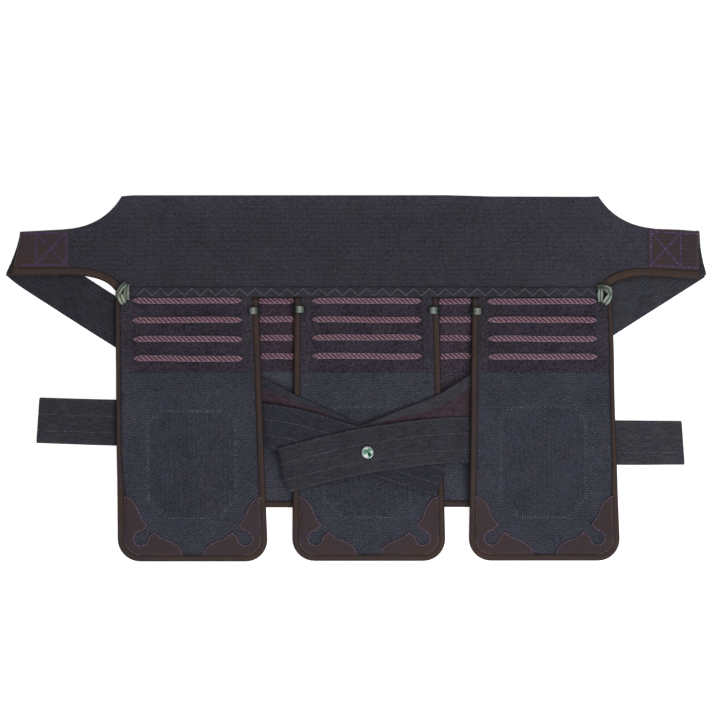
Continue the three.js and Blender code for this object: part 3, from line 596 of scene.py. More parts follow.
def flap_under(name, x, y):
    """Underside of a flap."""
    if name in SMALL:
        return np.zeros(np.shape(x))
    loose = seam_share(y)
    return SEAM_PANEL_BOTTOM + (support(name, x, y) - SEAM_PANEL_BOTTOM) * loose


def flap_over(name, x, y):
    """Upper side of a flap, before its quilting."""
    loose = seam_share(y)
    if name in SMALL:
        return SEAM_SMALL_TOP + (SMALL_THICKNESS - SEAM_SMALL_TOP) * loose
    return flap_under(name, x, y) + SEAM_PANEL_THICKNESS + (PANEL_THICKNESS - SEAM_PANEL_THICKNESS) * loose


def tab_lift(x):
    """Underside of the band, which rises towards the tabs."""
    return TAB_LIFT * smoothstep(np.abs(x - BAND_MIDDLE), LIFT_FROM, LIFT_TO)


def band_edges(x):
    """Lower and upper edge of the band along its length."""
    away = np.abs(np.asarray(x, float) - BAND_MIDDLE)
    t = np.linspace(0, 1, 60)
    shoulder = bezier(SHOULDER, t)
    elbow = bezier(INNER_ELBOW, 1 - t)
    upper = np.interp(away, [0, *shoulder[:, 0], TAB_END], [BAND_TOP, *shoulder[:, 1], TAB_TOP])
    places = [0, BAND_CORNER, *elbow[:, 0], TAB_END]
    lower = np.interp(away, places, [BAND_BOTTOM, BAND_BOTTOM, *elbow[:, 1], INNER_ELBOW[0][1]])
    droop = tab_droop(x)
    return lower - TAB_DROOP[0] * droop, upper - TAB_DROOP[1] * droop + top_shift(x)


def top_shift(x):
    """How far the band's top edge lies above its plan."""
    return np.interp(np.asarray(x, float) - BAND_MIDDLE, TOP_PLACES, TOP_SHIFTS)


def tab_droop(x):
    """Share of the right tab's droop along the band."""
    return smoothstep(np.asarray(x, float) - BAND_MIDDLE, DROOP_FROM, TAB_END)


def tab_down(y):
    """Share of the way down a tab."""
    return np.clip((TAB_TOP - y) / (TAB_TOP - TAB_BINDING_Y), 0, 1)


def tab_reach(x, y):
    """Distance of a tab's end from the middle of the band."""
    return TAB_END + np.where(np.asarray(x) < BAND_MIDDLE, TAB_SLANT, 0.0) * tab_down(y) - end_draw(y)


def end_draw(y):
    """How far the tabs' ends draw in at a height."""
    down = tab_down(y)
    return END_DRAW * 4 * down * (1 - down)


# Meshes


def placed(name, mesh):
    """Object of a mesh, in the scene."""
    piece = bpy.data.objects.new(name, mesh)
    bpy.context.scene.collection.objects.link(piece)
    return piece


def new_piece(name, points, faces, materials, face_material=None, smooth=True):
    """Mesh object from points in millimetres, with its faces turned outwards."""
    mesh = bpy.data.meshes.new(name)
    mesh.from_pydata((np.asarray(points, float) * MM).tolist(), [], [tuple(int(i) for i in f) for f in faces])
    for material in materials:
        mesh.materials.append(material)
    if face_material is not None:
        mesh.polygons.foreach_set("material_index", np.asarray(face_material, np.int32))
    mesh.polygons.foreach_set("use_smooth", np.full(len(mesh.polygons), smooth))
    turned = bmesh.new()
    turned.from_mesh(mesh)
    bmesh.ops.recalc_face_normals(turned, faces=turned.faces)
    turned.to_mesh(mesh)
    turned.free()
    mesh.update()
    return placed(name, mesh)


def settle(piece, slot, *nodes):
    """Makes a piece ride with the object, in place of its solids. Its slot is not used."""
    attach(piece, ROOT)
    if nodes:
        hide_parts(*nodes)
    return piece


def paint_points(piece, name, values):
    """Stores one number for each point of a mesh."""
    attribute = piece.data.attributes.new(name, "FLOAT", "POINT")
    attribute.data.foreach_set("value", np.asarray(values, np.float32).ravel())


def grid_faces(rows, columns):
    """Four-sided faces of a grid of points."""
    index = np.arange(rows * columns).reshape(rows, columns)
    corners = (index[:-1, :-1], index[:-1, 1:], index[1:, 1:], index[1:, :-1])
    return np.stack(corners, -1).reshape(-1, 4).tolist()


def ring_faces(rows, count, start=0):
    """Faces that skin a row of closed rings, with both ends closed."""
    index = np.arange(rows * count).reshape(rows, count) + start
    beside = np.roll(index, -1, axis=1)
    faces = np.stack((index[:-1], beside[:-1], beside[1:], index[1:]), -1).reshape(-1, 4).tolist()
    return faces + [index[0][::-1].tolist(), index[-1].tolist()]


def ring_bodies(bodies):
    """Points and faces of several bodies of closed rings in one mesh."""
    points = []
    faces = []
    for rings in bodies:
        faces += ring_faces(*rings.shape[:2], start=sum(len(part) for part in points))
        points.append(rings.reshape(-1, 3))
    return np.vstack(points), faces


def fill_plan(outline, inner=()):
    """Triangles over a closed plan outline and the points inside it, numbered in the order given."""
    count = len(outline)
    spots = [Vector((float(x), float(y))) for x, y in [*outline, *inner]]
    edges = [(i, (i + 1) % count) for i in range(count)]
    _, _, faces, origin, _, _ = delaunay_2d_cdt(spots, edges, [], 1, 1e-6)
    return [tuple(origin[i][0] for i in face) for face in faces]


def plan_body(outline, inner, over, under):
    """Closed body over a plan outline, between two heights."""
    flat = np.vstack([outline, inner]) if len(inner) else np.asarray(outline, float)
    count = len(flat)
    rim = len(outline)
    upper, lower = (np.column_stack([flat, height(*flat.T)]) for height in (over, under))
    top = fill_plan(outline, inner)
    back = [tuple(i + count for i in reversed(face)) for face in top]
    wall = [(i, (i + 1) % rim, (i + 1) % rim + count, i + count) for i in range(rim)]
    return np.vstack([upper, lower]), top + back + wall


def backed_grid(grid, under, skip):
    """Closed body from a grid of upper points, with walls down its rim and a coarse back."""
    rows, columns = grid.shape[:2]
    index = np.arange(rows * columns).reshape(rows, columns)
    rim = np.concatenate([index[0, :-1], index[:-1, -1], index[-1, :0:-1], index[:0:-1, 0]])
    upper = grid.reshape(-1, 3)
    inner = grid[skip:-skip:skip, skip:-skip:skip, :2].reshape(-1, 2)
    flat = np.vstack([upper[rim, :2], inner])
    lower = np.column_stack([flat, under(*flat.T)])
    first = len(upper)
    loop = np.arange(len(rim))
    after = np.roll(loop, -1)
    walls = np.stack([rim, loop + first, after + first, np.roll(rim, -1)], -1).tolist()
    back = [tuple(i + first for i in face) for face in fill_plan(flat[: len(rim)], inner)]
    return np.vstack([upper, lower]), grid_faces(rows, columns) + walls + back


def edge_drop(distance, radius):
    """How far a rounded edge lies below the flat, at a distance in from it."""
    near = np.clip(distance, 0, radius)
    return radius - np.sqrt(np.maximum(radius**2 - (radius - near) ** 2, 0))


def sweep(path, section, up=(0, 0, 1), swell=1.0):
    """Rings of a flat section, given as offsets to the side and up, along a path and widened by a swell."""
    path = np.asarray(path, float)
    way = tangents(path)
    side = np.cross(np.broadcast_to(up, way.shape), way)
    side /= np.linalg.norm(side, axis=1, keepdims=True)
    rise = np.cross(way, side)
    section = np.asarray(section, float)
    side = side * np.broadcast_to(swell, len(path))[:, None]
    return path[:, None] + side[:, None] * section[None, :, :1] + rise[:, None] * section[None, :, 1:]


def soft_section(width, thickness, corner):
    """Flat section with rounded corners, its underside at 0."""
    half = width / 2
    steps = 3
    points = []
    for turn, (x, z) in enumerate(((1, 1), (-1, 1), (-1, 0), (1, 0))):
        centre = ((half - corner) * x, corner + (thickness - 2 * corner) * z)
        for i in range(steps + 1):
            angle = (turn + i / steps) * math.pi / 2
            points.append((centre[0] + corner * math.cos(angle), centre[1] + corner * math.sin(angle)))
    return points


def ridged_section(width, thickness, ridges):
    """Flat section whose upper side is a row of round ridges, its underside at 0."""
    steps = ridges * 6
    share_across = np.linspace(0, 1, steps + 1)
    hump = np.abs(np.sin(math.pi * ridges * share_across)) ** 0.7
    upper = np.column_stack([width * (0.5 - share_across), thickness * (0.35 + 0.65 * hump)])
    lower = np.array([(-width * 0.46, 0.0), (0.0, 0.0), (width * 0.46, 0.0)])
    return np.vstack([upper, lower])


# Geometry Nodes

GEOMETRY = ("Geometry", "NodeSocketGeometry", None)
MATERIAL = ("Material", "NodeSocketMaterial", None)
PLACE = ("Vector", "NodeSocketVector", None)
STITCH_BEAD = {"Segments": 4, "Rings": 2, "Radius": 0.6}

# A cord's pairs of yarns, how far round the second yarn of a pair lies, its edges and core, its thin end
CORD_PAIRS = 4
CORD_APART = 0.46
CORD_CORE = (-0.6, 0.0, 0.6)
CORD_TIP = 0.18
CORD_SIDES = 5
ZIGZAG_STEPS = 24.0
ZIGZAG_SIDES = 6


def feed(tree, sockets, values):
    """Sets sockets to values, or links them to other nodes."""
    for key, value in values.items():
        if isinstance(value, NodeSocket):
            tree.links.new(value, sockets[key])
        else:
            sockets[key].default_value = value


def node(tree, kind, inputs=None, **settings):
    """New node with its settings, values and links."""
    made = tree.nodes.new(kind)
    for key, value in settings.items():
        setattr(made, key, value)
    feed(tree, made.inputs, inputs or {})
    return made


def calc(tree, operation, first, second=0.0):
    """Output of a math node."""
    return node(tree, "ShaderNodeMath", {0: first, 1: second}, operation=operation).outputs[0]


def vector(tree, **parts):
    """A vector of parts along X, Y and Z."""
    return node(tree, "ShaderNodeCombineXYZ", parts).outputs[0]


def once(store, name):
    """Has a tree or a finish made at its first use, and found by its name after that."""

    def wrap(make):
        def found():
            kept = getattr(bpy.data, store)
            return kept[name] if name in kept else make(name)

        return found

    return wrap


def new_tree(name, kind, inputs, outputs):
    """Empty node tree with named sockets, and its input and output sockets."""
    tree = bpy.data.node_groups.new(name, kind)
    for side, sockets in (("INPUT", inputs), ("OUTPUT", outputs)):
        for label, socket, default in sockets:
            item = tree.interface.new_socket(name=label, in_out=side, socket_type=socket)
            if default is not None:
                item.default_value = default
    return tree, tree.nodes.new("NodeGroupInput").outputs, tree.nodes.new("NodeGroupOutput").inputs


def numbers(**defaults):
    """Number sockets of a tree."""
    return [(label.replace("_", " "), "NodeSocketFloat", value) for label, value in defaults.items()]


def tints_of(*labels):
    """Colour sockets of a tree."""
    return [(label, "NodeSocketColor", None) for label in labels]


def finish_tree(tree, out, shape, material):
    """Ends a tree in real, smooth geometry of one material."""
    real = node(tree, "GeometryNodeRealizeInstances", {"Geometry": shape}).outputs["Geometry"]
    smooth = node(tree, "GeometryNodeSetShadeSmooth", {"Geometry": real}).outputs[0]
    painted = node(tree, "GeometryNodeSetMaterial", {"Geometry": smooth, "Material": material})
    feed(tree, out, {"Geometry": painted.outputs["Geometry"]})


@once("node_groups", "Lay stitches")
def stitch_tree(name):
    """Tree that lays one stitch on every point, along and facing the ways that the point stores."""
    sockets = [GEOMETRY, *numbers(Length=0.002, Width=0.0008, Height=0.0005, Spread=0.15)]
    sockets += [("Seed", "NodeSocketInt", 4), MATERIAL]
    tree, given, out = new_tree(name, "GeometryNodeTree", sockets, [GEOMETRY])
    along, facing = (
        node(tree, "GeometryNodeInputNamedAttribute", {"Name": label}, data_type="FLOAT_VECTOR").outputs[0]
        for label in ("along", "facing")
    )
    align = "FunctionNodeAlignRotationToVector"
    turned = node(tree, align, {"Vector": along}, axis="X").outputs[0]
    laid = node(tree, align, {"Rotation": turned, "Vector": facing}, axis="Z", pivot_axis="X")
    least, most = (calc(tree, way, 1.0, given["Spread"]) for way in ("SUBTRACT", "ADD"))
    limits = {2: least, 3: most, "Seed": given["Seed"]}
    vary = node(tree, "FunctionNodeRandomValue", limits, data_type="FLOAT").outputs[1]
    drawn = calc(tree, "MULTIPLY", given["Length"], vary)
    values = {
        "Points": given["Geometry"],
        "Instance": node(tree, "GeometryNodeMeshUVSphere", STITCH_BEAD).outputs["Mesh"],
        "Rotation": laid.outputs[0],
        "Scale": vector(tree, X=drawn, Y=given["Width"], Z=given["Height"]),
    }
    stitches = node(tree, "GeometryNodeInstanceOnPoints", values)
    finish_tree(tree, out, stitches.outputs["Instances"], given["Material"])
    return tree


def fine_line(tree, lines, step):
    """Curves along the lines of a mesh, with points a step apart."""
    curve = node(tree, "GeometryNodeMeshToCurve", {"Mesh": lines}).outputs[0]
    return node(tree, "GeometryNodeResampleCurve", {"Curve": curve, "Length": step}, mode="LENGTH").outputs[0]


def tube_on(tree, curve, offset, radius, sides):
    """Round tube along a curve that is moved by an offset."""
    moved = node(tree, "GeometryNodeSetPosition", {"Geometry": curve, "Offset": offset}).outputs[0]
    ring = node(tree, "GeometryNodeCurvePrimitiveCircle", {"Resolution": sides, "Radius": 1.0})
    values = {"Curve": moved, "Profile Curve": ring.outputs["Curve"], "Scale": radius, "Fill Caps": True}
    return node(tree, "GeometryNodeCurveToMesh", values).outputs["Mesh"]


@once("node_groups", "Lay cord")
def cord_tree(name):
    """Tree that lays a flat cord along each line of a mesh: turning pairs of yarns, two edges and a core.
    Each yarn stores a lift that its finish turns into painted shade.
    """
    sizes = numbers(Lead=0.022, Strand=0.0014, Half_Width=0.0024, Rise=0.001, Taper=0.006, Step=0.001)
    tree, given, out = new_tree(name, "GeometryNodeTree", [GEOMETRY, *sizes, MATERIAL], [GEOMETRY])
    fine = fine_line(tree, given["Geometry"], given["Step"])
    run = node(tree, "GeometryNodeSplineParameter").outputs["Length"]
    whole = node(tree, "GeometryNodeSplineLength").outputs["Length"]
    to_end = calc(tree, "MINIMUM", run, calc(tree, "SUBTRACT", whole, run))
    part = calc(tree, "MINIMUM", calc(tree, "DIVIDE", to_end, given["Taper"]), 1.0)
    full = calc(tree, "SINE", calc(tree, "MULTIPLY", part, math.pi / 2))
    fullness = calc(tree, "ADD", calc(tree, "MULTIPLY", full, 1 - CORD_TIP), CORD_TIP)
    turn = calc(tree, "DIVIDE", calc(tree, "MULTIPLY", run, TAU), given["Lead"])
    side = calc(tree, "MULTIPLY", given["Half Width"], fullness)
    rise = calc(tree, "MULTIPLY", given["Rise"], fullness)
    radius = calc(tree, "MULTIPLY", given["Strand"], calc(tree, "SQRT", fullness))
    yarns = []
    for start in [k * TAU / CORD_PAIRS + half for k in range(CORD_PAIRS) for half in (0.0, CORD_APART)]:
        angle = calc(tree, "ADD", turn, start)
        swing = calc(tree, "MULTIPLY", side, calc(tree, "COSINE", angle))
        height = calc(tree, "SINE", angle)
        yarns.append((swing, calc(tree, "MULTIPLY", rise, height), height, radius))
    # The edges are painted almost as light as the tops of the strands
    for edge in (-1.0, 1.0):
        yarns.append((calc(tree, "MULTIPLY", side, edge), 0.0, 0.9, radius))
    # The core is painted in full shade
    for core in CORD_CORE:
        yarns.append((calc(tree, "MULTIPLY", side, core), calc(tree, "MULTIPLY", rise, -0.2), -1.0, rise))
    joined = node(tree, "GeometryNodeJoinGeometry")
    for swing, lift, height, size in yarns:
        values = {"Geometry": fine, "Name": "lift", "Value": height}
        marked = node(tree, "GeometryNodeStoreNamedAttribute", values, data_type="FLOAT", domain="POINT")
        yarn = tube_on(tree, marked.outputs[0], vector(tree, Y=swing, Z=lift), size, CORD_SIDES)
        tree.links.new(yarn, joined.inputs[0])
    finish_tree(tree, out, joined.outputs[0], given["Material"])
    return tree


@once("node_groups", "Lay zigzag")
def zigzag_tree(name):
    """Tree that lays a zigzag of thread along each line of a mesh."""
    sizes = numbers(Pitch=0.017, Zigzag_Height=0.007, Thread=0.0005)
    tree, given, out = new_tree(name, "GeometryNodeTree", [GEOMETRY, *sizes, MATERIAL], [GEOMETRY])
    fine = fine_line(tree, given["Geometry"], calc(tree, "DIVIDE", given["Pitch"], ZIGZAG_STEPS))
    run = node(tree, "GeometryNodeSplineParameter").outputs["Length"]
    half = calc(tree, "MULTIPLY", given["Pitch"], 0.5)
    swing = calc(tree, "DIVIDE", calc(tree, "PINGPONG", run, half), half)
    offset = vector(tree, Y=calc(tree, "MULTIPLY", swing, given["Zigzag Height"]))
    finish_tree(tree, out, tube_on(tree, fine, offset, given["Thread"], ZIGZAG_SIDES), given["Material"])
    return tree


def grown(seed, tree, values, name):
    """Plain mesh object that a tree makes from a seed object, which is then removed."""
    modifier = seed.modifiers.new(tree.name, "NODES")
    modifier.node_group = tree
    for item in tree.interface.items_tree:
        if item.in_out == "INPUT" and item.name in values:
            modifier[item.identifier] = values[item.name]
    graph = bpy.context.evaluated_depsgraph_get()
    mesh = bpy.data.meshes.new_from_object(seed.evaluated_get(graph), depsgraph=graph)
    mesh.name = name
    seed.modifiers.remove(modifier)
    bpy.data.objects.remove(seed)
    if not mesh.polygons:
        raise RuntimeError(f"{name} came out empty")
    return placed(name, mesh)


def seed_object(name, points, edges=()):
    """Bare mesh object of points and edges in millimetres."""
    mesh = bpy.data.meshes.new(name)
    mesh.from_pydata((np.asarray(points, float) * MM).tolist(), [tuple(e) for e in edges], [])
    return placed(name, mesh)


def sew(name, seams, size, material, slot, seed=4, spread=0.15):
    """One piece of stitches. A seam is its points, their ways along and the ways that they face."""
    points, along, facing = (np.vstack(part) for part in zip(*seams))
    seeds = seed_object(name + "_seed", points)
    for label, ways in (("along", along), ("facing", facing)):
        attribute = seeds.data.attributes.new(label, "FLOAT_VECTOR", "POINT")
        attribute.data.foreach_set("vector", np.asarray(ways, np.float32).ravel())
    values = {key: value * MM for key, value in zip(("Length", "Width", "Height"), size)}
    values.update({"Spread": spread, "Seed": seed, "Material": material})
    return settle(grown(seeds, stitch_tree(), values, name), slot)


def draped(x, y, way_x, way_y, surface):
    """Seam on a surface from plan points and plan directions."""
    ahead = surface(x + way_x * 0.5, y + way_y * 0.5) - surface(x - way_x * 0.5, y - way_y * 0.5)
    points = np.column_stack([x, y, surface(x, y)])
    return points, np.column_stack([way_x, way_y, ahead]), np.tile((0.0, 0.0, 1.0), (len(x), 1))


def seam_on(line, pitch, surface):
    """Seam of stitches a pitch apart along a plan line on a surface."""
    line = respace(np.asarray(line, float), pitch)
    return draped(*line.T, *tangents(line).T, surface)


# Finishes

SHADER = "Principled BSDF"
WEAVE_KEYS = ("Pitch", "Mottle", "Drift", "Unevenness", "Lie")
STAIN_SPAN = (0.0, 1.4)
BLEND_SPAN = (0.0, 1.0)
# Span over which the bindings' painted shade comes in
SHADE_SPAN = (0.0, -1.3)


def noise_at(tree, place, scale, detail, roughness=0.5):
    """Strength of a noise pattern at a place."""
    values = {"Vector": place, "Scale": scale, "Detail": detail, "Roughness": roughness}
    return node(tree, "ShaderNodeTexNoise", values).outputs[0]


def times(tree, value, **factors):
    """A colour or place with its three parts multiplied by factors."""
    values = {0: value, 1: vector(tree, **factors)}
    return node(tree, "ShaderNodeVectorMath", values, operation="MULTIPLY").outputs[0]


def scaled(tree, value, scale):
    """A colour or place multiplied by one number."""
    return node(tree, "ShaderNodeVectorMath", {0: value, "Scale": scale}, operation="SCALE").outputs[0]


def mix(tree, factor, under, over):
    """Blend of two colours."""
    values = {"Factor": factor, 6: under, 7: over}
    return node(tree, "ShaderNodeMix", values, data_type="RGBA").outputs[2]


def drifting(tree, tint, place, scale, amount):
    """A colour that drifts between warmer and cooler from place to place."""
    noise = noise_at(tree, place, scale, 4.0, 0.7)
    warm = calc(tree, "MULTIPLY", calc(tree, "SUBTRACT", noise, 0.5), amount)
    return times(tree, tint, X=calc(tree, "ADD", 1.0, warm), Y=1.0, Z=calc(tree, "SUBTRACT", 1.0, warm))


@once("node_groups", "Woven cloth")
def woven_group(name):
    """Shader group of a plain weave with mottled dye."""
    sizes = numbers(Pitch=0.0006, Mottle=0.4, Drift=0.32, Unevenness=3.2, Lie=0.35)
    outputs = [*tints_of("Color"), *numbers(Height=None)]
    tree, given, out = new_tree(
        name, "ShaderNodeTree", [PLACE, *sizes, *tints_of("Dark", "Light")], outputs
    )
    place = given["Vector"]
    turns = scaled(tree, place, calc(tree, "DIVIDE", math.pi, given["Pitch"]))
    axis = node(tree, "ShaderNodeSeparateXYZ", {0: turns}).outputs
    warp, weft = (calc(tree, "SINE", axis[way]) for way in ("X", "Y"))
    weave = calc(tree, "ADD", calc(tree, "MULTIPLY", calc(tree, "MULTIPLY", warp, weft), 0.5), 0.5)
    drawn = (times(tree, place, X=given["Lie"], Y=1.0, Z=1.0), times(tree, place, X=1.0, Y=0.35, Z=1.0))
    slubs = [noise_at(tree, stretch, 820.0, 2.0) for stretch in drawn]
    uneven = calc(tree, "SUBTRACT", calc(tree, "ADD", *slubs), 1.0)
    fuzz = calc(tree, "ADD", calc(tree, "MULTIPLY", uneven, given["Unevenness"]), 0.5)
    dye = noise_at(tree, place, 38.0, 5.0, 0.65)
    blotch = calc(tree, "MULTIPLY", calc(tree, "SUBTRACT", dye, 0.5), given["Mottle"])
    threads = calc(tree, "ADD", calc(tree, "MULTIPLY", weave, 0.2), calc(tree, "MULTIPLY", fuzz, 0.8))
    tone = calc(tree, "ADD", threads, calc(tree, "MULTIPLY", blotch, 2.0))
    dyed = drifting(tree, mix(tree, tone, given["Dark"], given["Light"]), place, 55.0, given["Drift"])
    feed(tree, out, {"Color": dyed, "Height": threads})
    return tree


@once("node_groups", "Grained leather")
def leather_group(name):
    """Shader group of grained leather, lighter where the mesh stores rubbing, and on the thongs where it
    stores painted highlight.
    """
    sockets = [PLACE, *numbers(Grain=0.0012, Wear=0.0), *tints_of("Dark", "Light", "Worn")]
    outputs = [*tints_of("Color"), *numbers(Height=None, Roughness=None)]
    tree, given, out = new_tree(name, "ShaderNodeTree", sockets, outputs)
    place = given["Vector"]
    values = {"Vector": place, "Scale": calc(tree, "DIVIDE", 1.0, given["Grain"])}
    cells = node(tree, "ShaderNodeTexVoronoi", values, feature="DISTANCE_TO_EDGE").outputs["Distance"]
    crease = calc(tree, "MINIMUM", calc(tree, "MULTIPLY", cells, 5.0), 1.0)
    tone = noise_at(tree, place, 70.0, 6.0, 0.6)
    shade = calc(tree, "MULTIPLY", calc(tree, "ADD", crease, calc(tree, "MULTIPLY", tone, 1.2)), 0.5)
    face = mix(tree, shade, given["Dark"], given["Light"])
    rubbed_and_sheen = calc(tree, "MULTIPLY", given["Wear"], calc(tree, "MULTIPLY", tone, 1.5))
    worn = mix(tree, calc(tree, "MINIMUM", rubbed_and_sheen, 1.0), face, given["Worn"])
    dyed = drifting(tree, worn, place, 30.0, 0.8)
    roughness = calc(tree, "ADD", 0.5, calc(tree, "MULTIPLY", tone, 0.22))
    feed(tree, out, {"Color": dyed, "Height": crease, "Roughness": roughness})
    return tree


@once("node_groups", "Spun thread")
def thread_group(name):
    """Shader group of spun thread: fine fibres, lighter and darker along the sewing."""
    sockets = [PLACE, *numbers(Contrast=0.3), *tints_of("Tint")]
    outputs = [*tints_of("Color"), *numbers(Height=None)]
    tree, given, out = new_tree(name, "ShaderNodeTree", sockets, outputs)
    fibre = noise_at(tree, given["Vector"], 900.0, 3.0)
    along = noise_at(tree, given["Vector"], 420.0, 1.0)
    tone = calc(tree, "SUBTRACT", calc(tree, "ADD", fibre, along), 1.0)
    swing = calc(tree, "MULTIPLY", tone, calc(tree, "MULTIPLY", given["Contrast"], 3.0))
    gain = calc(tree, "MAXIMUM", calc(tree, "ADD", 1.0, swing), 0.25)
    feed(tree, out, {"Color": scaled(tree, given["Tint"], gain), "Height": fibre})
    return tree


def rgba(value):
    """Colour with full cover."""
    return (*value, 1.0)


def shades(colours, key):
    """Dark and light colour of a finish."""
    return [getattr(colours, f"{key}_{tone}") for tone in ("dark", "light")]


def tones(dark, light):
    """Values of a shader group's dark and light colours."""
    return {"Dark": rgba(dark), "Light": rgba(light)}


def new_material(name, group, values, depth, finish, place="Object"):
    """Material whose colour and relief come from a shader group, with its tree, shader and group."""
    material = bpy.data.materials.new(name)
    material.use_nodes = True
    tree = material.node_tree
    shader = tree.nodes[SHADER].inputs
    where = node(tree, "ShaderNodeTexCoord").outputs[place]
    effect = node(tree, "ShaderNodeGroup", {"Vector": where, **values}, node_tree=group)
    relief = node(tree, "ShaderNodeBump", {"Height": effect.outputs["Height"], "Distance": depth * MM})
    feed(tree, shader, {"Base Color": effect.outputs["Color"], "Normal": relief.outputs["Normal"], **finish})
    return material, tree, shader, effect


def cloth(name, tints, pitch, mottle, place="Object", unevenness=3.2, lie=0.35):
    """Matte woven cloth."""
    if name in bpy.data.materials:
        return bpy.data.materials[name]
    values = {"Pitch": pitch * MM, "Mottle": mottle, "Unevenness": unevenness, "Lie": lie, **tones(*tints)}
    finish = {"Roughness": 0.92, "Specular IOR Level": 0.2}
    return new_material(name, woven_group(), values, 0.15, finish, place)[0]


def leather(name, tints, worn, grain=1.1):
    """Satin grained leather that is lighter where the mesh stores rubbing, and on the thongs where it stores
    painted highlight.
    """
    if name in bpy.data.materials:
        return bpy.data.materials[name]
    values = {"Worn": rgba(worn), "Grain": grain * MM, **tones(*tints)}
    finish = {"Specular IOR Level": 0.2}
    material, tree, shader, effect = new_material(name, leather_group(), values, 0.12, finish)
    # The stored number is rubbing on the leather, painted highlight on the thongs and painted shade on the
    # bindings
    rubbed_and_sheen = node(tree, "ShaderNodeAttribute", attribute_name="wear")
    feed(tree, effect.inputs, {"Wear": rubbed_and_sheen.outputs["Fac"]})
    feed(tree, shader, {"Roughness": effect.outputs["Roughness"]})
    return material


def thread(name, tint, contrast=0.6):
    """Spun thread with a low sheen."""
    if name in bpy.data.materials:
        return bpy.data.materials[name]
    values = {"Tint": rgba(tint), "Contrast": contrast}
    finish = {"Roughness": 0.75, "Specular IOR Level": 0.3}
    return new_material(name, thread_group(), values, 0.1, finish)[0]


def brighter(tints, gain):
    """Colours with more light in them."""
    return [[part * gain for part in tint] for tint in tints]


@once("materials", "band_cloth")
def band_cloth(name):
    """Cloth of the band with painted light: paler towards its top and to the right, where the mesh stores it.
    """
    colours = bpy.context.scene.protector_finish
    tints = shades(colours, "band")
    material = cloth(name, tints, 0.7, 0.4, unevenness=2.5)
    blend_by(material, "faded", BLEND_SPAN, second_weave(material, *brighter(tints, colours.band_painted_light)))
    return material


def flap_cloths(name):
    """Cloths of a flap: quilted, plain under the cords, and plain beside them. Small flaps get painted light:
    their quilting paler where the large flaps shade it, their plain cloth darker on the left and paler on the
    right.
    """
    colours = bpy.context.scene.protector_finish
    label = "large" if name in LARGE else name
    quilted, plain, beside = (shades(colours, key) for key in ("flap", "yoke", "margin"))
    if name in SMALL:
        quilted = brighter(quilted, colours.small_painted_light)
        plain = brighter(shades(colours, "small"), SMALL_PAINTED_LIGHT[name])
        beside = plain
    return [
        cloth(f"flap_cloth_{label}", quilted, 0.6, 0.5, unevenness=2.3),
        cloth(f"yoke_cloth_{label}", plain, 0.8, 0.7),
        cloth(f"margin_cloth_{label}", beside, 0.8, 0.6),
    ]


@once("materials", "trim_leather")
def trim_leather(name):
    """Leather of the patches and corners, stained by the thread where the mesh stores it."""
    colours = bpy.context.scene.protector_finish
    material = leather(name, shades(colours, "leather"), colours.leather_worn)
    blend_by(material, "stain", STAIN_SPAN, rgba(colours.stain))
    return material


@once("materials", "piping_leather")
def piping_leather(name):
    """Leather of the bindings, with painted shade where the mesh stores less than nothing: on their rolled
    outer side.
    """
    colours = bpy.context.scene.protector_finish
    material = leather(name, shades(colours, "piping"), colours.leather_worn)
    blend_by(material, "wear", SHADE_SPAN, rgba(colours.piping_edge))
    return material


def blend_by(material, attribute, span, over):
    """Blends a material's colour into another one by a number that the mesh stores."""
    tree = material.node_tree
    base = tree.nodes[SHADER].inputs["Base Color"]
    stored = node(tree, "ShaderNodeAttribute", attribute_name=attribute)
    values = {"Value": stored.outputs["Fac"], "From Min": span[0], "From Max": span[1]}
    part = node(tree, "ShaderNodeMapRange", values).outputs[0]
    tree.links.new(mix(tree, part, base.links[0].from_socket, over), base)


def second_weave(material, dark, light):
    """Colour of another cloth, woven like a material's own."""
    tree = material.node_tree
    own = next(part for part in tree.nodes if part.type == "GROUP")
    values = {key: own.inputs[key].default_value for key in WEAVE_KEYS}
    values.update({"Vector": own.inputs["Vector"].links[0].from_socket, **tones(dark, light)})
    return node(tree, "ShaderNodeGroup", values, node_tree=own.node_tree).outputs["Color"]


# Flaps

LARGE_STEP = (1.3, 0.9)
SMALL_STEP = (1.8, 0.9)
QUILT_REACH = (-190, 90)
QUILT_CLEAR = 1.6
WINDOW_MARGIN = 14
EDGE_SEAM_DROP = 11

# Lengths, widths and heights of stitches, or their widths and heights where a user sets the length
QUILT_STITCH = (0.85, 0.6)
COLUMN_STITCH = (0.65, 0.5)
CORNER_STITCH = (0.95, 0.8)
SEAM_STITCH = (1.5, 0.7, 0.5)
YOKE_STITCH = (1.9, 1.2, 0.6)
OUTLINE_STITCH = (1.55, 1.05, 0.7)
OUTLINE_ROW_STITCH = (1.4, 0.8, 0.6)
BAND_STITCH = (0.75, 0.55)
PATCH_STITCH = (1.0, 0.8)
STRAP_STITCH = (0.6, 0.45)


def flap_rows(name, inset, top, step, turns):
    """Heights down a flap, how far the hem's corners draw it in, and how far they have turned."""
    radius = HEM_RADIUS - inset
    hem = PANELS[name]["hem_y"] + inset
    straight = np.linspace(top, hem + radius, round((top - hem - radius) / step) + 1)
    turn = np.linspace(0, math.pi / 2, turns + 1)[1:]
    y = np.concatenate([straight, hem + radius * (1 - np.sin(turn))])
    tuck = np.concatenate([np.zeros(len(straight)), radius * (1 - np.cos(turn))])
    return y, tuck, np.concatenate([np.zeros(len(straight)), turn])


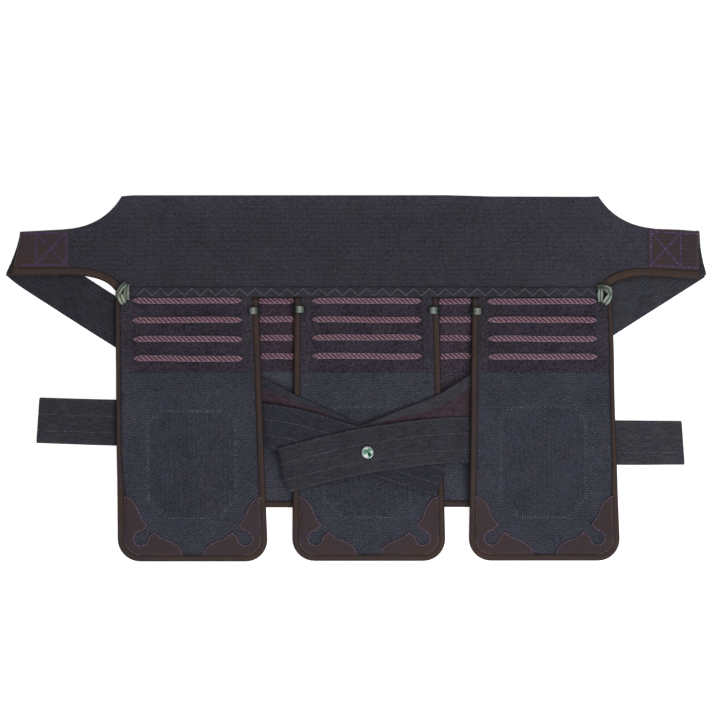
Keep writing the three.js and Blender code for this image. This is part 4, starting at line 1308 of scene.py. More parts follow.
def off_octagon(name, x, y):
    """Distance outside a flap's octagon, negative inside it."""
    if name not in OCTAGONS:
        return np.full(np.shape(x), 99.0)
    left, right, bottom, top, low_cut, high_cut = OCTAGONS[name]
    across = np.abs(x - (left + right) / 2) - (right - left) / 2
    up = np.abs(y - (bottom + top) / 2) - (top - bottom) / 2
    cut = np.where(y > (bottom + top) / 2, high_cut, low_cut)
    return np.maximum(np.maximum(across, up), (across + up + cut) / math.sqrt(2))


def off_binding(name, x, y):
    """Distance in from a flap's binding."""
    left, right = panel_edges(name, y)
    beside = np.minimum(x - left - binding_width(name, -1, y), right - x - binding_width(name, 1, y))
    return np.minimum(beside, y - PANELS[name]["hem_y"] - BINDING)


def in_yoke(name, x, y, settings):
    """Which plan points lie on the plain upper part of a flap."""
    left, right = panel_edges(name, y)
    margin = INSET + settings.yoke_margin / MM
    return (y > settings.yoke_bottom / MM) & (x > left + margin) & (x < right - margin)


def row_swing(x, settings):
    """How far the wavy rows are up or down at a place along them."""
    return settings.wave / MM * np.sin(TAU * x / (settings.wave_length / MM))


def flap_surface(name, settings):
    """Upper side of a flap, pulled in by its quilting and seams."""
    puff = settings.puff / MM
    yoke_y = settings.yoke_bottom / MM

    def surface(x, y):
        rows = 0.5 - 0.5 * np.cos(TAU * (y - yoke_y - row_swing(x, settings)) / (settings.row_pitch / MM))
        columns = 0.5 - 0.5 * np.cos(TAU * x / (settings.column_pitch / MM))
        octagon = off_octagon(name, x, y)
        within = smoothstep(-octagon, 0.5, 2.0)
        quilt = (1 - rows) * (1 - within) + (1 - columns) * within
        quilt = quilt * (1 - smoothstep(y, yoke_y - 1.5, yoke_y))
        outline = 0.4 * np.exp(-((octagon / 1.4) ** 2))
        seam = 0.55 * np.exp(-(((y - yoke_y) / 1.0) ** 2))
        edge = 0.7 * np.exp(-((off_binding(name, x, y) / 2.2) ** 2))
        return flap_over(name, x, y) - puff * quilt - outline - seam - edge

    return surface


def make_flap(name, settings, step):
    """One flap as a padded body with a plain upper part and a quilted lower part."""
    surface = flap_surface(name, settings)
    y, tuck, _ = flap_rows(name, INSET, SEAM_Y, step[1], 22)
    left, right = panel_edges(name, y)
    columns = round((right - left).max() / step[0])
    t = np.linspace(0, 1, columns + 1)
    left = left + binding_width(name, -1, y) + GAP + tuck
    right = right - binding_width(name, 1, y) - GAP - tuck
    x = left[:, None] * (1 - t) + right[:, None] * t
    rows_y = np.repeat(y[:, None], columns + 1, axis=1)
    grid = np.stack([x, rows_y, surface(x, rows_y)], -1)
    points, faces = backed_grid(grid, lambda u, v: flap_under(name, u, v), 8)
    middle = (grid[:-1, :-1] + grid[1:, 1:]).reshape(-1, 3) / 2
    kind = np.where(middle[:, 1] > PLAIN_BOTTOM.get(name, settings.yoke_bottom / MM), 2, 0)
    kind[in_yoke(name, middle[:, 0], middle[:, 1], settings)] = 1
    face_material = np.concatenate([kind, np.zeros(len(faces) - len(kind), int)])
    node_name = f"panel_{name}" if name in LARGE else name.replace("small", "small_panel")
    piece = new_piece(f"flap_{name}", points, faces, flap_cloths(name), face_material)
    settle(piece, "cloth", node_name)


def corner_spots(name, sign, outline):
    """Plan of a flap's corner outline: the left corner for -1, the right one for 1."""
    panel = PANELS[name]
    x = panel["hem"][0] + outline[:, 0] if sign < 0 else panel["hem"][1] - outline[:, 0]
    return np.column_stack([x, panel["hem_y"] + outline[:, 1]])


def scallop():
    """Scalloped inner edge of a leather corner, from the side of the flap to its hem."""
    t = np.linspace(0, 1, 9)
    curves = [bezier(curve, t)[:-1] for curve in CORNER_CURVES]
    throat = np.array(CORNER_CURVES[-1][2]) - KEYHOLE_CENTRE
    enter = math.atan2(throat[1], throat[0])
    angle = np.linspace(enter, math.pi / 2 - enter + TAU, 22)
    keyhole = KEYHOLE_CENTRE + KEYHOLE_RADIUS * np.column_stack([np.cos(angle), np.sin(angle)])
    half = np.vstack(curves)
    return np.vstack([half, keyhole, half[::-1, ::-1]])


def corner_outline():
    """Closed outline of a leather corner."""
    radius = HEM_RADIUS - CORNER_EDGE
    angle = np.linspace(1.5 * math.pi, math.pi, 12)
    turn = HEM_RADIUS + radius * np.column_stack([np.cos(angle), np.sin(angle)])
    return np.vstack([scallop(), turn])


def quilt_spots(name, settings):
    """Plan points of a flap's wavy rows of stitches, and their slopes."""
    edges = [panel_edges(name, y) for y in QUILT_REACH]
    left = min(edge[0] for edge in edges)
    right = max(0, *(edge[1] for edge in edges))
    pitch = settings.stitch_pitch / MM
    row = settings.row_pitch / MM
    top = settings.yoke_bottom / MM
    count = int((top - PANELS[name]["hem_y"]) / row)
    across = np.arange(left, right, pitch)
    x = np.concatenate([across + (0.5 * pitch if i % 2 else 0) for i in range(1, count)])
    y = np.repeat(top - np.arange(1, count) * row, len(across))
    rng = np.random.default_rng(7)
    x = x + rng.normal(0, 0.12, len(x))
    y = y + row_swing(x, settings) + rng.normal(0, 0.08, len(x))
    clear = settings.edge_seam / MM + QUILT_CLEAR
    keep = (off_binding(name, x, y) > clear) & (off_octagon(name, x, y) > QUILT_CLEAR)
    keep &= corner_free(name, x, y)
    if name in SMALL_WINDOWS:
        before, after = SMALL_WINDOWS[name]
        keep &= x > panel_edges(before, y)[1] - WINDOW_MARGIN
        keep &= x < panel_edges(after, y)[0] + WINDOW_MARGIN
    x, y = x[keep], y[keep]
    swing = settings.wave_length / MM
    slope = settings.wave / MM * TAU / swing * np.cos(TAU * x / swing)
    return x, y, slope + rng.normal(0, 0.12, len(x))


def corner_free(name, x, y):
    """Which plan points lie clear of a flap's leather corners."""
    free = np.ones(np.shape(x), bool)
    if name in LARGE:
        for sign in (-1, 1):
            free &= ~inside(corner_spots(name, sign, corner_outline()), x, y)
    return free


def edge_line(name, inset):
    """Plan line down one side of a flap, round its hem and up the other side."""
    y, tuck, _ = flap_rows(name, inset, SEAM_Y - EDGE_SEAM_DROP, 4.0, 10)
    left, right = panel_edges(name, y)
    down = np.column_stack([left + inset + tuck, y])
    return np.vstack([down, np.column_stack([right - inset - tuck, y])[::-1]])


def sew_flap(name, settings, colours):
    """Stitches of one flap: wavy rows, seams, the octagon's outline and upright rows."""
    surface = flap_surface(name, settings)
    x, y, slope = quilt_spots(name, settings)
    rows = draped(x, y, np.ones(len(x)), slope, surface)
    size = (settings.stitch_length / MM, *QUILT_STITCH)
    tint = "quilt_thread" if name in LARGE else "small_thread"
    sew(f"quilting_{name}", [rows], size, thread(tint, getattr(colours, tint)), "cloth", seed=11)
    line = edge_line(name, BINDING + settings.edge_seam / MM)
    line = line[corner_free(name, *line.T)]
    seams = [seam_on(part, 2.5, surface) for part in split_line(line, 12)]
    sew(f"seams_{name}", seams, SEAM_STITCH, thread("seam_thread", colours.band_thread), "cloth", seed=5)
    yoke_y = settings.yoke_bottom / MM
    left, right = panel_edges(name, yoke_y)
    seam = seam_on([(left + INSET + 2, yoke_y), (right - INSET - 2, yoke_y)], 3.1, surface)
    dark = thread("yoke_thread", colours.yoke_thread)
    sew(f"yoke_seam_{name}", [seam], YOKE_STITCH, dark, "cloth", seed=5)
    if name in OCTAGONS:
        clear = [seam_on(octagon_line(name, 0.0), 2.6, surface)]
        pale = thread("outline_thread", colours.outline_thread, 1.1)
        sew(f"outline_{name}", clear, OUTLINE_STITCH, pale, "cloth", seed=3, spread=0.3)
        faint = [seam_on(octagon_line(name, grow), 2.6, surface) for grow in (-1.7, 1.7)]
        quilt = thread("quilt_thread", colours.quilt_thread)
        sew(f"outline_rows_{name}", faint, OUTLINE_ROW_STITCH, quilt, "cloth", seed=4)
        upright = thread("column_thread", colours.column_thread)
        size = (settings.column_stitch / MM, *COLUMN_STITCH)
        sew(f"columns_{name}", column_seams(name, settings, surface), size, upright, "cloth", seed=9)


def split_line(line, jump):
    """Parts of a line between gaps longer than a jump."""
    gaps = np.flatnonzero(np.linalg.norm(np.diff(line, axis=0), axis=1) > jump) + 1
    return [part for part in np.split(line, gaps) if len(part) > 2]


def octagon_line(name, grow):
    """Closed plan line of a flap's octagon, grown outwards."""
    left, right, bottom, top, low, high = OCTAGONS[name]
    left, right, bottom, top = left - grow, right + grow, bottom - grow, top + grow
    corners = [(left + high, top), (right - high, top), (right, top - high), (right, bottom + low),
               (right - low, bottom), (left + low, bottom), (left, bottom + low), (left, top - high),
               (left + high, top)]
    return np.array(corners)


def column_seams(name, settings, surface):
    """Upright rows of stitches inside a flap's octagon."""
    left, right, bottom, top, _, _ = OCTAGONS[name]
    pitch = settings.column_pitch / MM
    first = math.ceil(left / pitch) * pitch
    seams = []
    for i, x in enumerate(np.arange(first, right, pitch)):
        y = np.arange(bottom, top, settings.column_stitch / MM + 1.3) + (2.1 if i % 2 else 0)
        at = np.full(len(y), x)
        keep = off_octagon(name, at, y) < -2.2
        if keep.any():
            at, y = at[keep], y[keep]
            seams.append(draped(at, y, np.zeros(len(y)), np.ones(len(y)), surface))
    return seams


def binding_section(width, round_off):
    """Section of a binding from its inner lower edge round to its inner upper edge.

    Each point has its way out, whether it is on the upper side, its lift, and its rubbing and painted light:
    below nothing is painted shade, on the rolled outer side.
    """
    # Values below nothing are painted shade, on the underside by the outer edge and round the rolled outer
    # side; the top is lighter with rubbing towards its middle
    section = [(0.0, 0, 0.0, 0.0), (width - round_off, 0, 0.0, -1.0)]
    for angle in (30, 60, 90):
        out = width - round_off + round_off * math.sin(math.radians(angle))
        section.append((out, 0, round_off * (1 - math.cos(math.radians(angle))), -1.0))
    for angle, wear in ((90, -1.0), (65, -0.8), (40, -0.3), (15, 0.3)):
        out = width - round_off + round_off * math.sin(math.radians(angle))
        section.append((out, 1, -round_off * (1 - math.cos(math.radians(angle))) + 0.1, wear))
    section += [(width * 0.4, 1, 0.22, 0.4), (0.6, 1, 0.2, 0.1), (-0.3, 1, 0.05, 0.0)]
    section += [(-0.8, 1, -0.5, 0.0), (0.0, 1, -0.9, 0.0)]
    return section


def binding_body(path, outward, width, round_off, under, over):
    """Points, faces, and rubbing and painted shade of a leather binding of one width, or one for each point,
    along a plan path.
    """
    widest = np.max(width)
    section = binding_section(widest, round_off)
    scale = np.broadcast_to(width / widest, len(path))[:, None]
    rings = []
    for out, upper, lift, _ in section:
        spot = path + outward * out * scale
        height = (over if upper else under)(*spot.T)
        rings.append(np.column_stack([spot, height + lift]))
    points = np.stack(rings, 1)
    wear = np.tile([w for _, _, _, w in section], len(path))
    return points.reshape(-1, 3), ring_faces(len(path), len(section)), wear


def flap_binding(name):
    """Leather binding round a flap."""
    y, tuck, turn = flap_rows(name, BINDING, STRIP_BOTTOM - GAP, 5.0, 9)
    left, right = panel_edges(name, y)
    wide_left, wide_right = (binding_width(name, side, y) for side in (-1, 1))
    down = np.column_stack([left + wide_left + tuck, y])
    up = np.column_stack([right - wide_right - tuck, y])[::-1]
    count = round((up[0, 0] - down[-1, 0]) / 5.0)
    along = np.linspace(down[-1], up[0], count + 1)[1:-1]
    out_down = np.column_stack([-np.cos(turn), -np.sin(turn)])
    out_up = np.column_stack([np.cos(turn), -np.sin(turn)])[::-1]
    path = np.vstack([down, along, up])
    outward = np.vstack([out_down, np.tile((0.0, -1.0), (len(along), 1)), out_up])
    width = np.concatenate([wide_left, np.full(len(along), BINDING), wide_right[::-1]])
    points, faces, wear = binding_body(
        path, outward, width, 2.3,
        lambda x, v: flap_under(name, x, v), lambda x, v: flap_over(name, x, v) + BINDING_PROUD,
    )
    piece = new_piece(f"binding_{name}", points, faces, [piping_leather()])
    # Rubbing and painted shade of the binding
    paint_points(piece, "wear", wear)
    settle(piece, "leather", f"piping_{name}")


def raised(surface, lift):
    """A surface raised by a height."""
    return lambda x, y: surface(x, y) + lift


def closed_line(outline):
    """An outline with its first point again at its end."""
    return np.vstack([outline, outline[:1]])


def left_of(way):
    """Plan directions a quarter turn to the left of others."""
    return np.column_stack([-way[:, 1], way[:, 0]])


def cut_leather(name, outline, pitch, surface, settings, solid):
    """Thin leather with rounded cut edges, laid on a surface over a plan outline."""
    round_off = settings.leather_round / MM
    closed = closed_line(outline)
    low, high = outline.min(0), outline.max(0)
    u, v = np.meshgrid(np.arange(low[0], high[0], pitch), np.arange(low[1], high[1], pitch))
    spots = np.column_stack([u.ravel(), v.ravel()])
    spots = spots[inside(outline, *spots.T)]
    spots = spots[off_line(closed, *spots.T) > round_off * 1.9]
    normal = left_of(tangents(closed)[:-1])
    bands = []
    for inset in (0.35 * round_off, round_off):
        for side in (-1, 1):
            ring = outline + side * normal * inset
            fits = inside(outline, *ring.T) & (off_line(closed, *ring.T) > inset * 0.9)
            bands.append(ring[fits])
    inner = np.vstack([*bands, spots])

    def over(x, y):
        return surface(x, y) + LEATHER - edge_drop(off_line(closed, x, y), round_off)

    points, faces = plan_body(outline, inner, over, surface)
    piece = new_piece(name, points, faces, [trim_leather()])
    rubbed_and_sheen = np.exp(-((off_line(closed, points[:, 0], points[:, 1]) / 0.9) ** 2))
    paint_points(piece, "wear", rubbed_and_sheen * 0.8)
    return settle(piece, "leather", solid)


def make_corner(name, sign, settings, colours):
    """One scalloped leather corner and the seams along its edges."""
    label = f"{name}_{'a' if sign < 0 else 'b'}"
    inset = settings.corner_seam / MM
    pitch = settings.stitch_pitch / MM

    def base(x, y):
        return flap_over(name, x, y) + GAP * 0.25

    face = raised(base, LEATHER)
    outline = corner_spots(name, sign, corner_outline())
    cut_leather(f"corner_{label}", outline, 3.2, base, settings, f"corner_leather_{label}")
    edge = respace(corner_spots(name, sign, scallop()), 0.8)
    line = edge - left_of(tangents(edge)) * (1 if sign < 0 else -1) * settings.corner_seam / MM
    line = line[inside(outline, *line.T)]
    line = line[off_line(closed_line(outline), *line.T) > inset * 0.9]
    size = (settings.stitch_length / MM, *CORNER_STITCH)
    yarn = thread("corner_thread", colours.corner_thread)
    sew(f"corner_seam_{label}", [seam_on(line, pitch, face)], size, yarn, "leather", seed=2)
    rim = edge_line(name, CORNER_EDGE + inset)
    rim = rim[inside(outline, *rim.T)]
    yarn = thread("rim_thread", colours.rim_thread)
    sew(f"corner_rim_{label}", [seam_on(rim, pitch, face)], size, yarn, "leather", seed=3)


# Band


def band_surface(settings):
    """Upper side of the band, pulled in by its quilting."""
    pitch = settings.row_pitch / MM
    puff = settings.puff / MM
    round_off = settings.edge_round / MM
    plain = settings.plain_edge / MM

    def surface(x, y):
        lower, upper = band_edges(x)
        end = tab_reach(x, y) - np.abs(x - BAND_MIDDLE)
        edge = np.minimum(upper - y, end)
        rows = 0.5 + 0.5 * np.cos(TAU * (BAND_TOP - plain - y) / pitch)
        quilt = rows * smoothstep(upper - y, plain - 1.5, plain)
        hem = 0.2 * np.exp(-(((upper - y - plain) / 1.1) ** 2))
        drop = edge_drop(edge, round_off) + edge_drop(y - lower, round_off / 2)
        return BAND_THICKNESS - puff * quilt - hem - drop

    return surface


def make_band(settings, colours):
    """The quilted band with its tabs."""
    surface = band_surface(settings)
    x = np.linspace(BAND_MIDDLE - TAB_END, BAND_MIDDLE + TAB_END, 251)
    x = np.unique(np.concatenate([x, BAND_MIDDLE + np.array([-1, 1]) * BAND_TOP_HALF]))
    lower, upper = band_edges(x)
    inner = np.linspace(0, 1, 118)
    fine = np.array([0.001, 0.003, 0.006, 0.012, 0.02])
    t = np.unique(np.concatenate([inner, fine, 1 - fine]))
    y = lower + (upper - lower) * t[:, None]
    wide = np.repeat(x[None, :], len(t), axis=0)
    stretch = smoothstep(np.abs(wide - BAND_MIDDLE), SLANT_FROM, TAB_END)
    wide = wide + np.sign(wide - BAND_MIDDLE) * (tab_reach(wide, y) - TAB_END) * stretch
    grid = np.stack([wide, y, surface(wide, y)], -1)
    grid[0, :, 1] -= np.where(np.abs(x - BAND_MIDDLE) < BAND_CORNER, EDGE_SWELL, EDGE_SWELL / 2)
    grid[0, :, 2] = EDGE_SWELL_Z
    points, faces = backed_grid(grid, lambda u, v: tab_lift(u), 9)
    piece = new_piece("band", points, faces, [band_cloth()])
    spots = np.asarray(points)
    # Painted light: the band is painted paler towards its top and to the right
    faded = np.maximum(smoothstep(spots[:, 1], *PAINTED_LIGHT_Y), smoothstep(spots[:, 0], *PAINTED_LIGHT_X))
    paint_points(piece, "faded", faded)
    settle(piece, "band", "waist_band")
    size = (settings.tick_length / MM, *BAND_STITCH)
    yarn = thread("band_thread", colours.band_thread)
    sew("band_quilting", band_ticks(settings, surface), size, yarn, "band", seed=21)


def band_ticks(settings, surface):
    """Rows of upright stitches on the band."""
    pitch = settings.row_pitch / MM
    tick = settings.tick_pitch / MM
    plain = settings.plain_edge / MM
    across = np.arange(BAND_MIDDLE - TAB_END + 4, BAND_MIDDLE + TAB_END - 4, tick)
    rng = np.random.default_rng(3)
    seams = []
    for y in np.arange(BAND_TOP - plain - pitch / 2, BAND_BOTTOM + 2, -pitch):
        x = across + rng.normal(0, 0.1, len(across))
        at = y + rng.normal(0, 0.12, len(x))
        lower, upper = band_edges(x)
        keep = (at > lower + 2.4) & (at < upper - 3.4)
        keep &= (x > BAND_MIDDLE - PATCH_INNER[-1] + 1.5) & (x < BAND_MIDDLE + PATCH_INNER[1] - 1.5)
        x, at = x[keep], at[keep]
        lean = rng.normal(0, 0.08, len(x))
        seams.append(draped(x, at, lean, np.ones(len(x)), surface))
    return seams


def band_binding(name, sign):
    """Leather binding along the lower edge of a tab and round its elbow."""
    end = float(tab_reach(sign * TAB_END, TAB_BINDING_Y))
    straight = np.column_stack([np.linspace(end, ELBOW[0][0], 12), np.full(12, TAB_BINDING_Y)])
    bent = bezier(ELBOW, np.linspace(0, 1, 16))[1:]
    tucked = bent[-1] + (bent[-1] - bent[-2]) / np.linalg.norm(bent[-1] - bent[-2]) * BINDING_TUCK
    middle = np.vstack([straight, bent, tucked])
    way = tangents(middle)
    outward = np.column_stack([-way[:, 1] * sign, way[:, 0]])
    middle = np.column_stack([BAND_MIDDLE + sign * middle[:, 0], middle[:, 1]])
    middle[:, 1] -= TAB_DROOP[0] * tab_droop(middle[:, 0])
    path = middle - outward * TAB_BINDING_WIDTH / 2
    width = TAB_BINDING_WIDTH + (BINDING_SWELL if sign > 0 else 0)
    points, faces, wear = binding_body(
        path, outward, width, 2.6,
        lambda x, y: tab_lift(x), lambda x, y: np.full(len(x), BAND_THICKNESS + BINDING_PROUD),
    )
    piece = new_piece(f"tab_binding_{name}", points, faces, [piping_leather()])
    # Rubbing and painted shade of the binding
    paint_points(piece, "wear", wear)
    settle(piece, "leather", f"band_piping_{name}")


def make_patch(name, sign, band, settings, colours):
    """Leather patch on a tab, sewn with a crossed box."""
    base = raised(band_surface(band), GAP * 0.5)
    heights = (PATCH_BOTTOM, PATCH_TOP)

    def spot(distance, y):
        x = BAND_MIDDLE + sign * distance
        drop = float(tab_droop(x)) * np.interp(y, heights, TAB_DROOP)
        return x, y - drop + float(top_shift(x)) * np.interp(y, heights, (0.0, 1.0))

    def end(y):
        return float(tab_reach(sign * TAB_END, y)) - PATCH_MARGIN

    edge = PATCH_INNER[sign]
    corners = [spot(edge, PATCH_BOTTOM), spot((edge + end(PATCH_BOTTOM)) / 2, PATCH_BOTTOM)]
    corners += [spot(end(y), y) for y in np.linspace(*heights, 9)]
    corners += [spot((edge + end(PATCH_TOP)) / 2, PATCH_TOP), spot(edge, PATCH_TOP)]
    outline = respace(np.array([*corners, corners[0]]), 2.2)[:-1]
    piece = cut_leather(f"tab_patch_{name}", outline, 0.9, base, settings, f"patch_{name}")
    inner, outer, far = edge + 2.8, edge + 34.2, TAB_END - 3.6
    low, high = PATCH_BOTTOM + 2.8, PATCH_TOP - 2.6
    lines = [[(inner, low), (far, low)], [(inner, high), (far, high)], [(inner, low), (inner, high)],
             [(outer, low), (outer, high)], [(inner, low), (outer, high)], [(inner, high), (outer, low)]]
    lines = [np.array([spot(*at) for at in line]) for line in lines]
    x, y, _ = np.array([v.co for v in piece.data.vertices]).T / MM
    off_seam = np.min([off_line(line, x, y) for line in lines], axis=0)
    paint_points(piece, "stain", np.exp(-((off_seam / STAIN_REACH) ** 2)))
    seams = [seam_on(line, settings.stitch_pitch / MM, raised(base, LEATHER)) for line in lines]
    size = (settings.stitch_length / MM, *PATCH_STITCH)
    violet = thread(f"violet_{name}", getattr(colours, f"violet_{name}"), 1.0)
    sew(f"patch_seams_{name}", seams, size, violet, "leather", seed=6, spread=0.3)


def make_joining_strip(settings, colours):
    """Cloth strip over the tops of the flaps, with its zigzag of thread."""
    on_panel = SEAM_PANEL_BOTTOM + SEAM_PANEL_THICKNESS + GAP
    on_small = SEAM_SMALL_TOP + GAP
    x = np.unique(np.concatenate([
        np.linspace(*STRIP_ENDS, 140),
        [edge + side for name in LARGE for edge in PANELS[name]["seam"] for side in (0, -1, 1)],
    ]))
    x = x[(x >= STRIP_ENDS[0]) & (x <= STRIP_ENDS[1])]
    over_flap = np.zeros(len(x), bool)
    for name in LARGE:
        left, right = PANELS[name]["seam"]
        over_flap |= (x >= left) & (x <= right)
    bottom = np.where(over_flap, on_panel, on_small)
    section = soft_section(SEAM_Y - STRIP_BOTTOM, 1.0, 0.45)
    rings = []
    for across, up in section:
        lip = EDGE_SWELL * 0.7 if across > 0 and up > 0.5 else 0.0
        y = np.full(len(x), (SEAM_Y + STRIP_BOTTOM) / 2 + across + lip)
        sag = 0.12 * np.sin(x / 9.0) * up
        z = STRIP_TOP_Z - 1.0 + up + sag if up > 0.5 else bottom + up * 0.5
        rings.append(np.column_stack([x, y, np.broadcast_to(z, x.shape)]))
    points = np.stack(rings, 1).reshape(-1, 3)
    piece = new_piece("seam_strip", points, ring_faces(len(x), len(section)), [band_cloth()])
    settle(piece, "cloth", "joining_strip")
    line = [(end, ZIGZAG_LOW, STRIP_TOP_Z + 0.2) for end in ZIGZAG_ENDS]
    values = {"Pitch": settings.zigzag_pitch, "Zigzag Height": settings.zigzag_height}
    values["Thread"] = settings.zigzag_thread
    values["Material"] = thread("zigzag_thread", colours.zigzag_colour)
    zigzag = grown(seed_object("zigzag_seed", line, [(0, 1)]), zigzag_tree(), values, "seam_zigzag")
    settle(zigzag, "braid")


# Cords


def cord_line(name, row, settings):
    """Line of one laid cord across a flap, resting on it."""
    first, pitch = BRAID_LAYOUT[name]
    y = first - row * pitch
    if name in LARGE:
        left, right = panel_edges(name, y)
        ends = ((left + right) / 2 - BRAID_HALF_LENGTH, (left + right) / 2 + BRAID_HALF_LENGTH)
    else:
        before, after = SMALL_WINDOWS[name]
        ends = (panel_edges(before, y - BRAID_WIDTH)[1] - GAP, panel_edges(after, y - BRAID_WIDTH)[0] + GAP)
    x = np.linspace(*ends, 30)
    rng = np.random.default_rng(40 + row + len(name))
    drift = np.interp(x, np.linspace(*ends, 5), rng.normal(0, 0.35, 5))
    rest = flap_over(name, x, np.full(len(x), y)) + settings.rise / MM * 0.6 + settings.strand / MM * 0.4
    return np.column_stack([x, y + drift, rest])


def make_cord(name, row, settings, colours):
    """One laid cord sewn across a flap."""
    line = cord_line(name, row, settings)
    seed = seed_object("cord_seed", line, [(i, i + 1) for i in range(len(line) - 1)])
    values = {
        "Lead": settings.lead, "Strand": settings.strand, "Half Width": settings.half_width,
        "Rise": settings.rise, "Taper": settings.taper if name in LARGE else BLUNT * MM,
        "Step": settings.step, "Material": cord_thread(colours),
    }
    label = f"{name}_{row + 1}"
    settle(grown(seed, cord_tree(), values, f"cord_{label}"), "braid", f"braid_{label}")


def cord_thread(colours):
    """Spun cord with painted shade where a strand dives under the others, and on its core."""
    name = "cord_thread"
    if name not in bpy.data.materials:
        blend_by(thread(name, colours.cord_light, 0.3), "lift", (0.75, -0.2), rgba(colours.cord_dark))
    return bpy.data.materials[name]


# Straps

STRAP_COLUMNS = (
    1.0, 0.985, 0.955, 0.93, 0.9, 0.8, 0.7, 0.6, 0.55, 0.5, 0.44, 0.4, 0.36, 0.32, 0.28, 0.24, 0.12, 0.0,
)
EDGE_SEAMS = (-0.93, 0.93)
FACE_SEAMS = (-0.44, 0.28)
REVERSE_SEAMS = (-0.55, 0.55)
DULL_FROM = 150.0
FAR_SPAN = (120.0, 270.0)
NO_LINING = -5.0
LINING_BLEND = (-0.7, 0.7)


def strap_frames(name):
    """Rings of a strap's frame: centre, way across, reach, normal and the run or fold that it is on."""
    half = STRAP_WIDTH / 2
    frames = []
    upward = -1 if name == "left" else 1
    lean_before = None
    for run, (route, lean) in STRAPS[name].items():
        line = smooth_line(route, 3.0)
        way = tangents(line)
        face = -1 if run == "under" else 1
        square = left_of(way) * upward
        passed = np.linspace(0, 1, len(line)) * np.linalg.norm(np.diff(line, axis=0), axis=1).sum()
        across = square
        for fold, distance in ((lean_before, passed), (lean, passed[-1] - passed)):
            if fold is not None:
                target = np.array((fold, 1.0)) / math.hypot(fold, 1.0)
                pull = (1 - smoothstep(distance, 0, STRAP_WIDTH))[:, None]
                across = across * (1 - pull) + target * pull
                across = across / np.linalg.norm(across, axis=1, keepdims=True)
        reach = half / (across * square).sum(1) * strap_swell(name, run, line[:, 0])
        for i in range(len(line)):
            frames.append((line[i], across[i], reach[i], np.array((0.0, 0.0, face)), run))
        if lean is not None:
            frames += fold_frames(line[-1], way[-1], lean, face, strap_swell(name, "fold", line[-1][0]))
        upward = -upward
        lean_before = lean
    return frames


def strap_swell(name, run, x):
    """How much wider than its plan a strap lies, by place along X."""
    if name == "left" and run != "over":
        return 1.0
    amount, start, full = WIDER[name]
    return 1 + amount * smoothstep(-x, -start, -full)


def fold_frames(centre, way, lean, face, swell):
    """Rings round one fold of a strap."""
    steps = 10
    across = np.array((lean, 1.0)) / math.hypot(lean, 1.0)
    outward = np.array((across[1], -across[0]))
    outward = outward * np.sign(outward @ way)
    reach = swell * STRAP_WIDTH / 2 / abs(across @ np.array((-way[1], way[0])))
    frames = []
    for i in range(1, steps):
        turn = math.pi * (i / steps if face > 0 else 1 - i / steps)
        normal = np.array((*(outward * math.sin(turn)), math.cos(turn)))
        frames.append((centre, across, reach, normal, "fold"))
    return frames


def strap_half(columns, groove):
    """Half the thickness of a strap across its width, thinner at its edges and seams."""
    edge = np.clip((np.abs(columns) - 0.94) / 0.06, 0, 1)
    half = STRAP_THICKNESS / 2 * (0.3 + 0.7 * np.sqrt(1 - edge**2))
    for seam in (*EDGE_SEAMS, *FACE_SEAMS):
        half = half - groove * np.exp(-(((columns - seam) / 0.03) ** 2))
    return half


def wrinkle(run, name, x, y):
    """Small folds in the cloth where the right strap comes out from under the left flap."""
    if name == "right" and run == "over":
        ridge = np.exp(-(((x + 90 + 0.25 * (y + 60)) / 3.2) ** 2)) * np.exp(-(((y + 57) / 11) ** 2))
        return 1.4 * ridge
    return np.zeros(np.shape(x))


def strap_grids(name, groove):
    """Front and reverse points of a strap, the normals of its rings and the length run."""
    columns = np.array([*STRAP_COLUMNS, *[-c for c in STRAP_COLUMNS[-2::-1]]])
    frames = strap_frames(name)
    middle = np.zeros((len(frames), len(columns), 3))
    normals = np.array([f[3] for f in frames])
    runs = np.array([f[4] for f in frames])
    for i, (centre, across, reach, _, _) in enumerate(frames):
        middle[i, :, :2] = centre + across * (columns * reach)[:, None]
    outward = frames[-1][0] - frames[-2][0]
    shift = np.interp(columns, *END_SHAPE[name])
    middle[-1, :, :2] += shift[:, None] * outward / np.linalg.norm(outward)
    away = middle[..., 0] - BAND_MIDDLE
    drawn = end_draw(middle[..., 1]) * smoothstep(np.abs(away), *END_DRAW_SPAN)
    middle[..., 0] -= np.sign(away) * drawn
    for run in ("sewn", "under", "over", "fold"):
        rows = runs == run
        x, y = middle[rows, :, 0], middle[rows, :, 1]
        if run == "sewn":
            base = np.full(x.shape, STRAP_LEVEL)
        elif run == "fold":
            base = np.full(x.shape, STRAP_LEVEL / 2)
        else:
            base = support(f"strap_{name}_{run}", x, y) + wrinkle(run, name, x, y)
        middle[rows, :, 2] = base + STRAP_THICKNESS / 2
    on_fold = runs == "fold"
    middle[on_fold] += normals[on_fold][:, None] * STRAP_LEVEL / 2
    half = strap_half(columns, groove)
    offset = normals[:, None] * half[None, :, None]
    spine = middle[:, len(columns) // 2]
    run_length = np.concatenate([[0], np.cumsum(np.linalg.norm(np.diff(spine, axis=0), axis=1))])
    return columns, middle + offset, middle - offset, normals, run_length


def strap_cloths(name, colours):
    """Cloths of a strap's face and reverse, which turn into other cloths where the mesh stores it."""
    face, reverse = (
        cloth(f"strap_{side}_{name}", shades(colours, f"{side}_{name}"), 0.75, 0.7, "UV", lie=0.1)
        for side in ("face", "reverse")
    )
    for stored, key in (("lining", "lining"), ("dull", f"dull_{name}")):
        blend_by(reverse, stored, LINING_BLEND, second_weave(reverse, *shades(colours, key)))
    blend_by(face, "faded", BLEND_SPAN, second_weave(face, *shades(colours, f"far_{name}")))
    return [face, reverse]


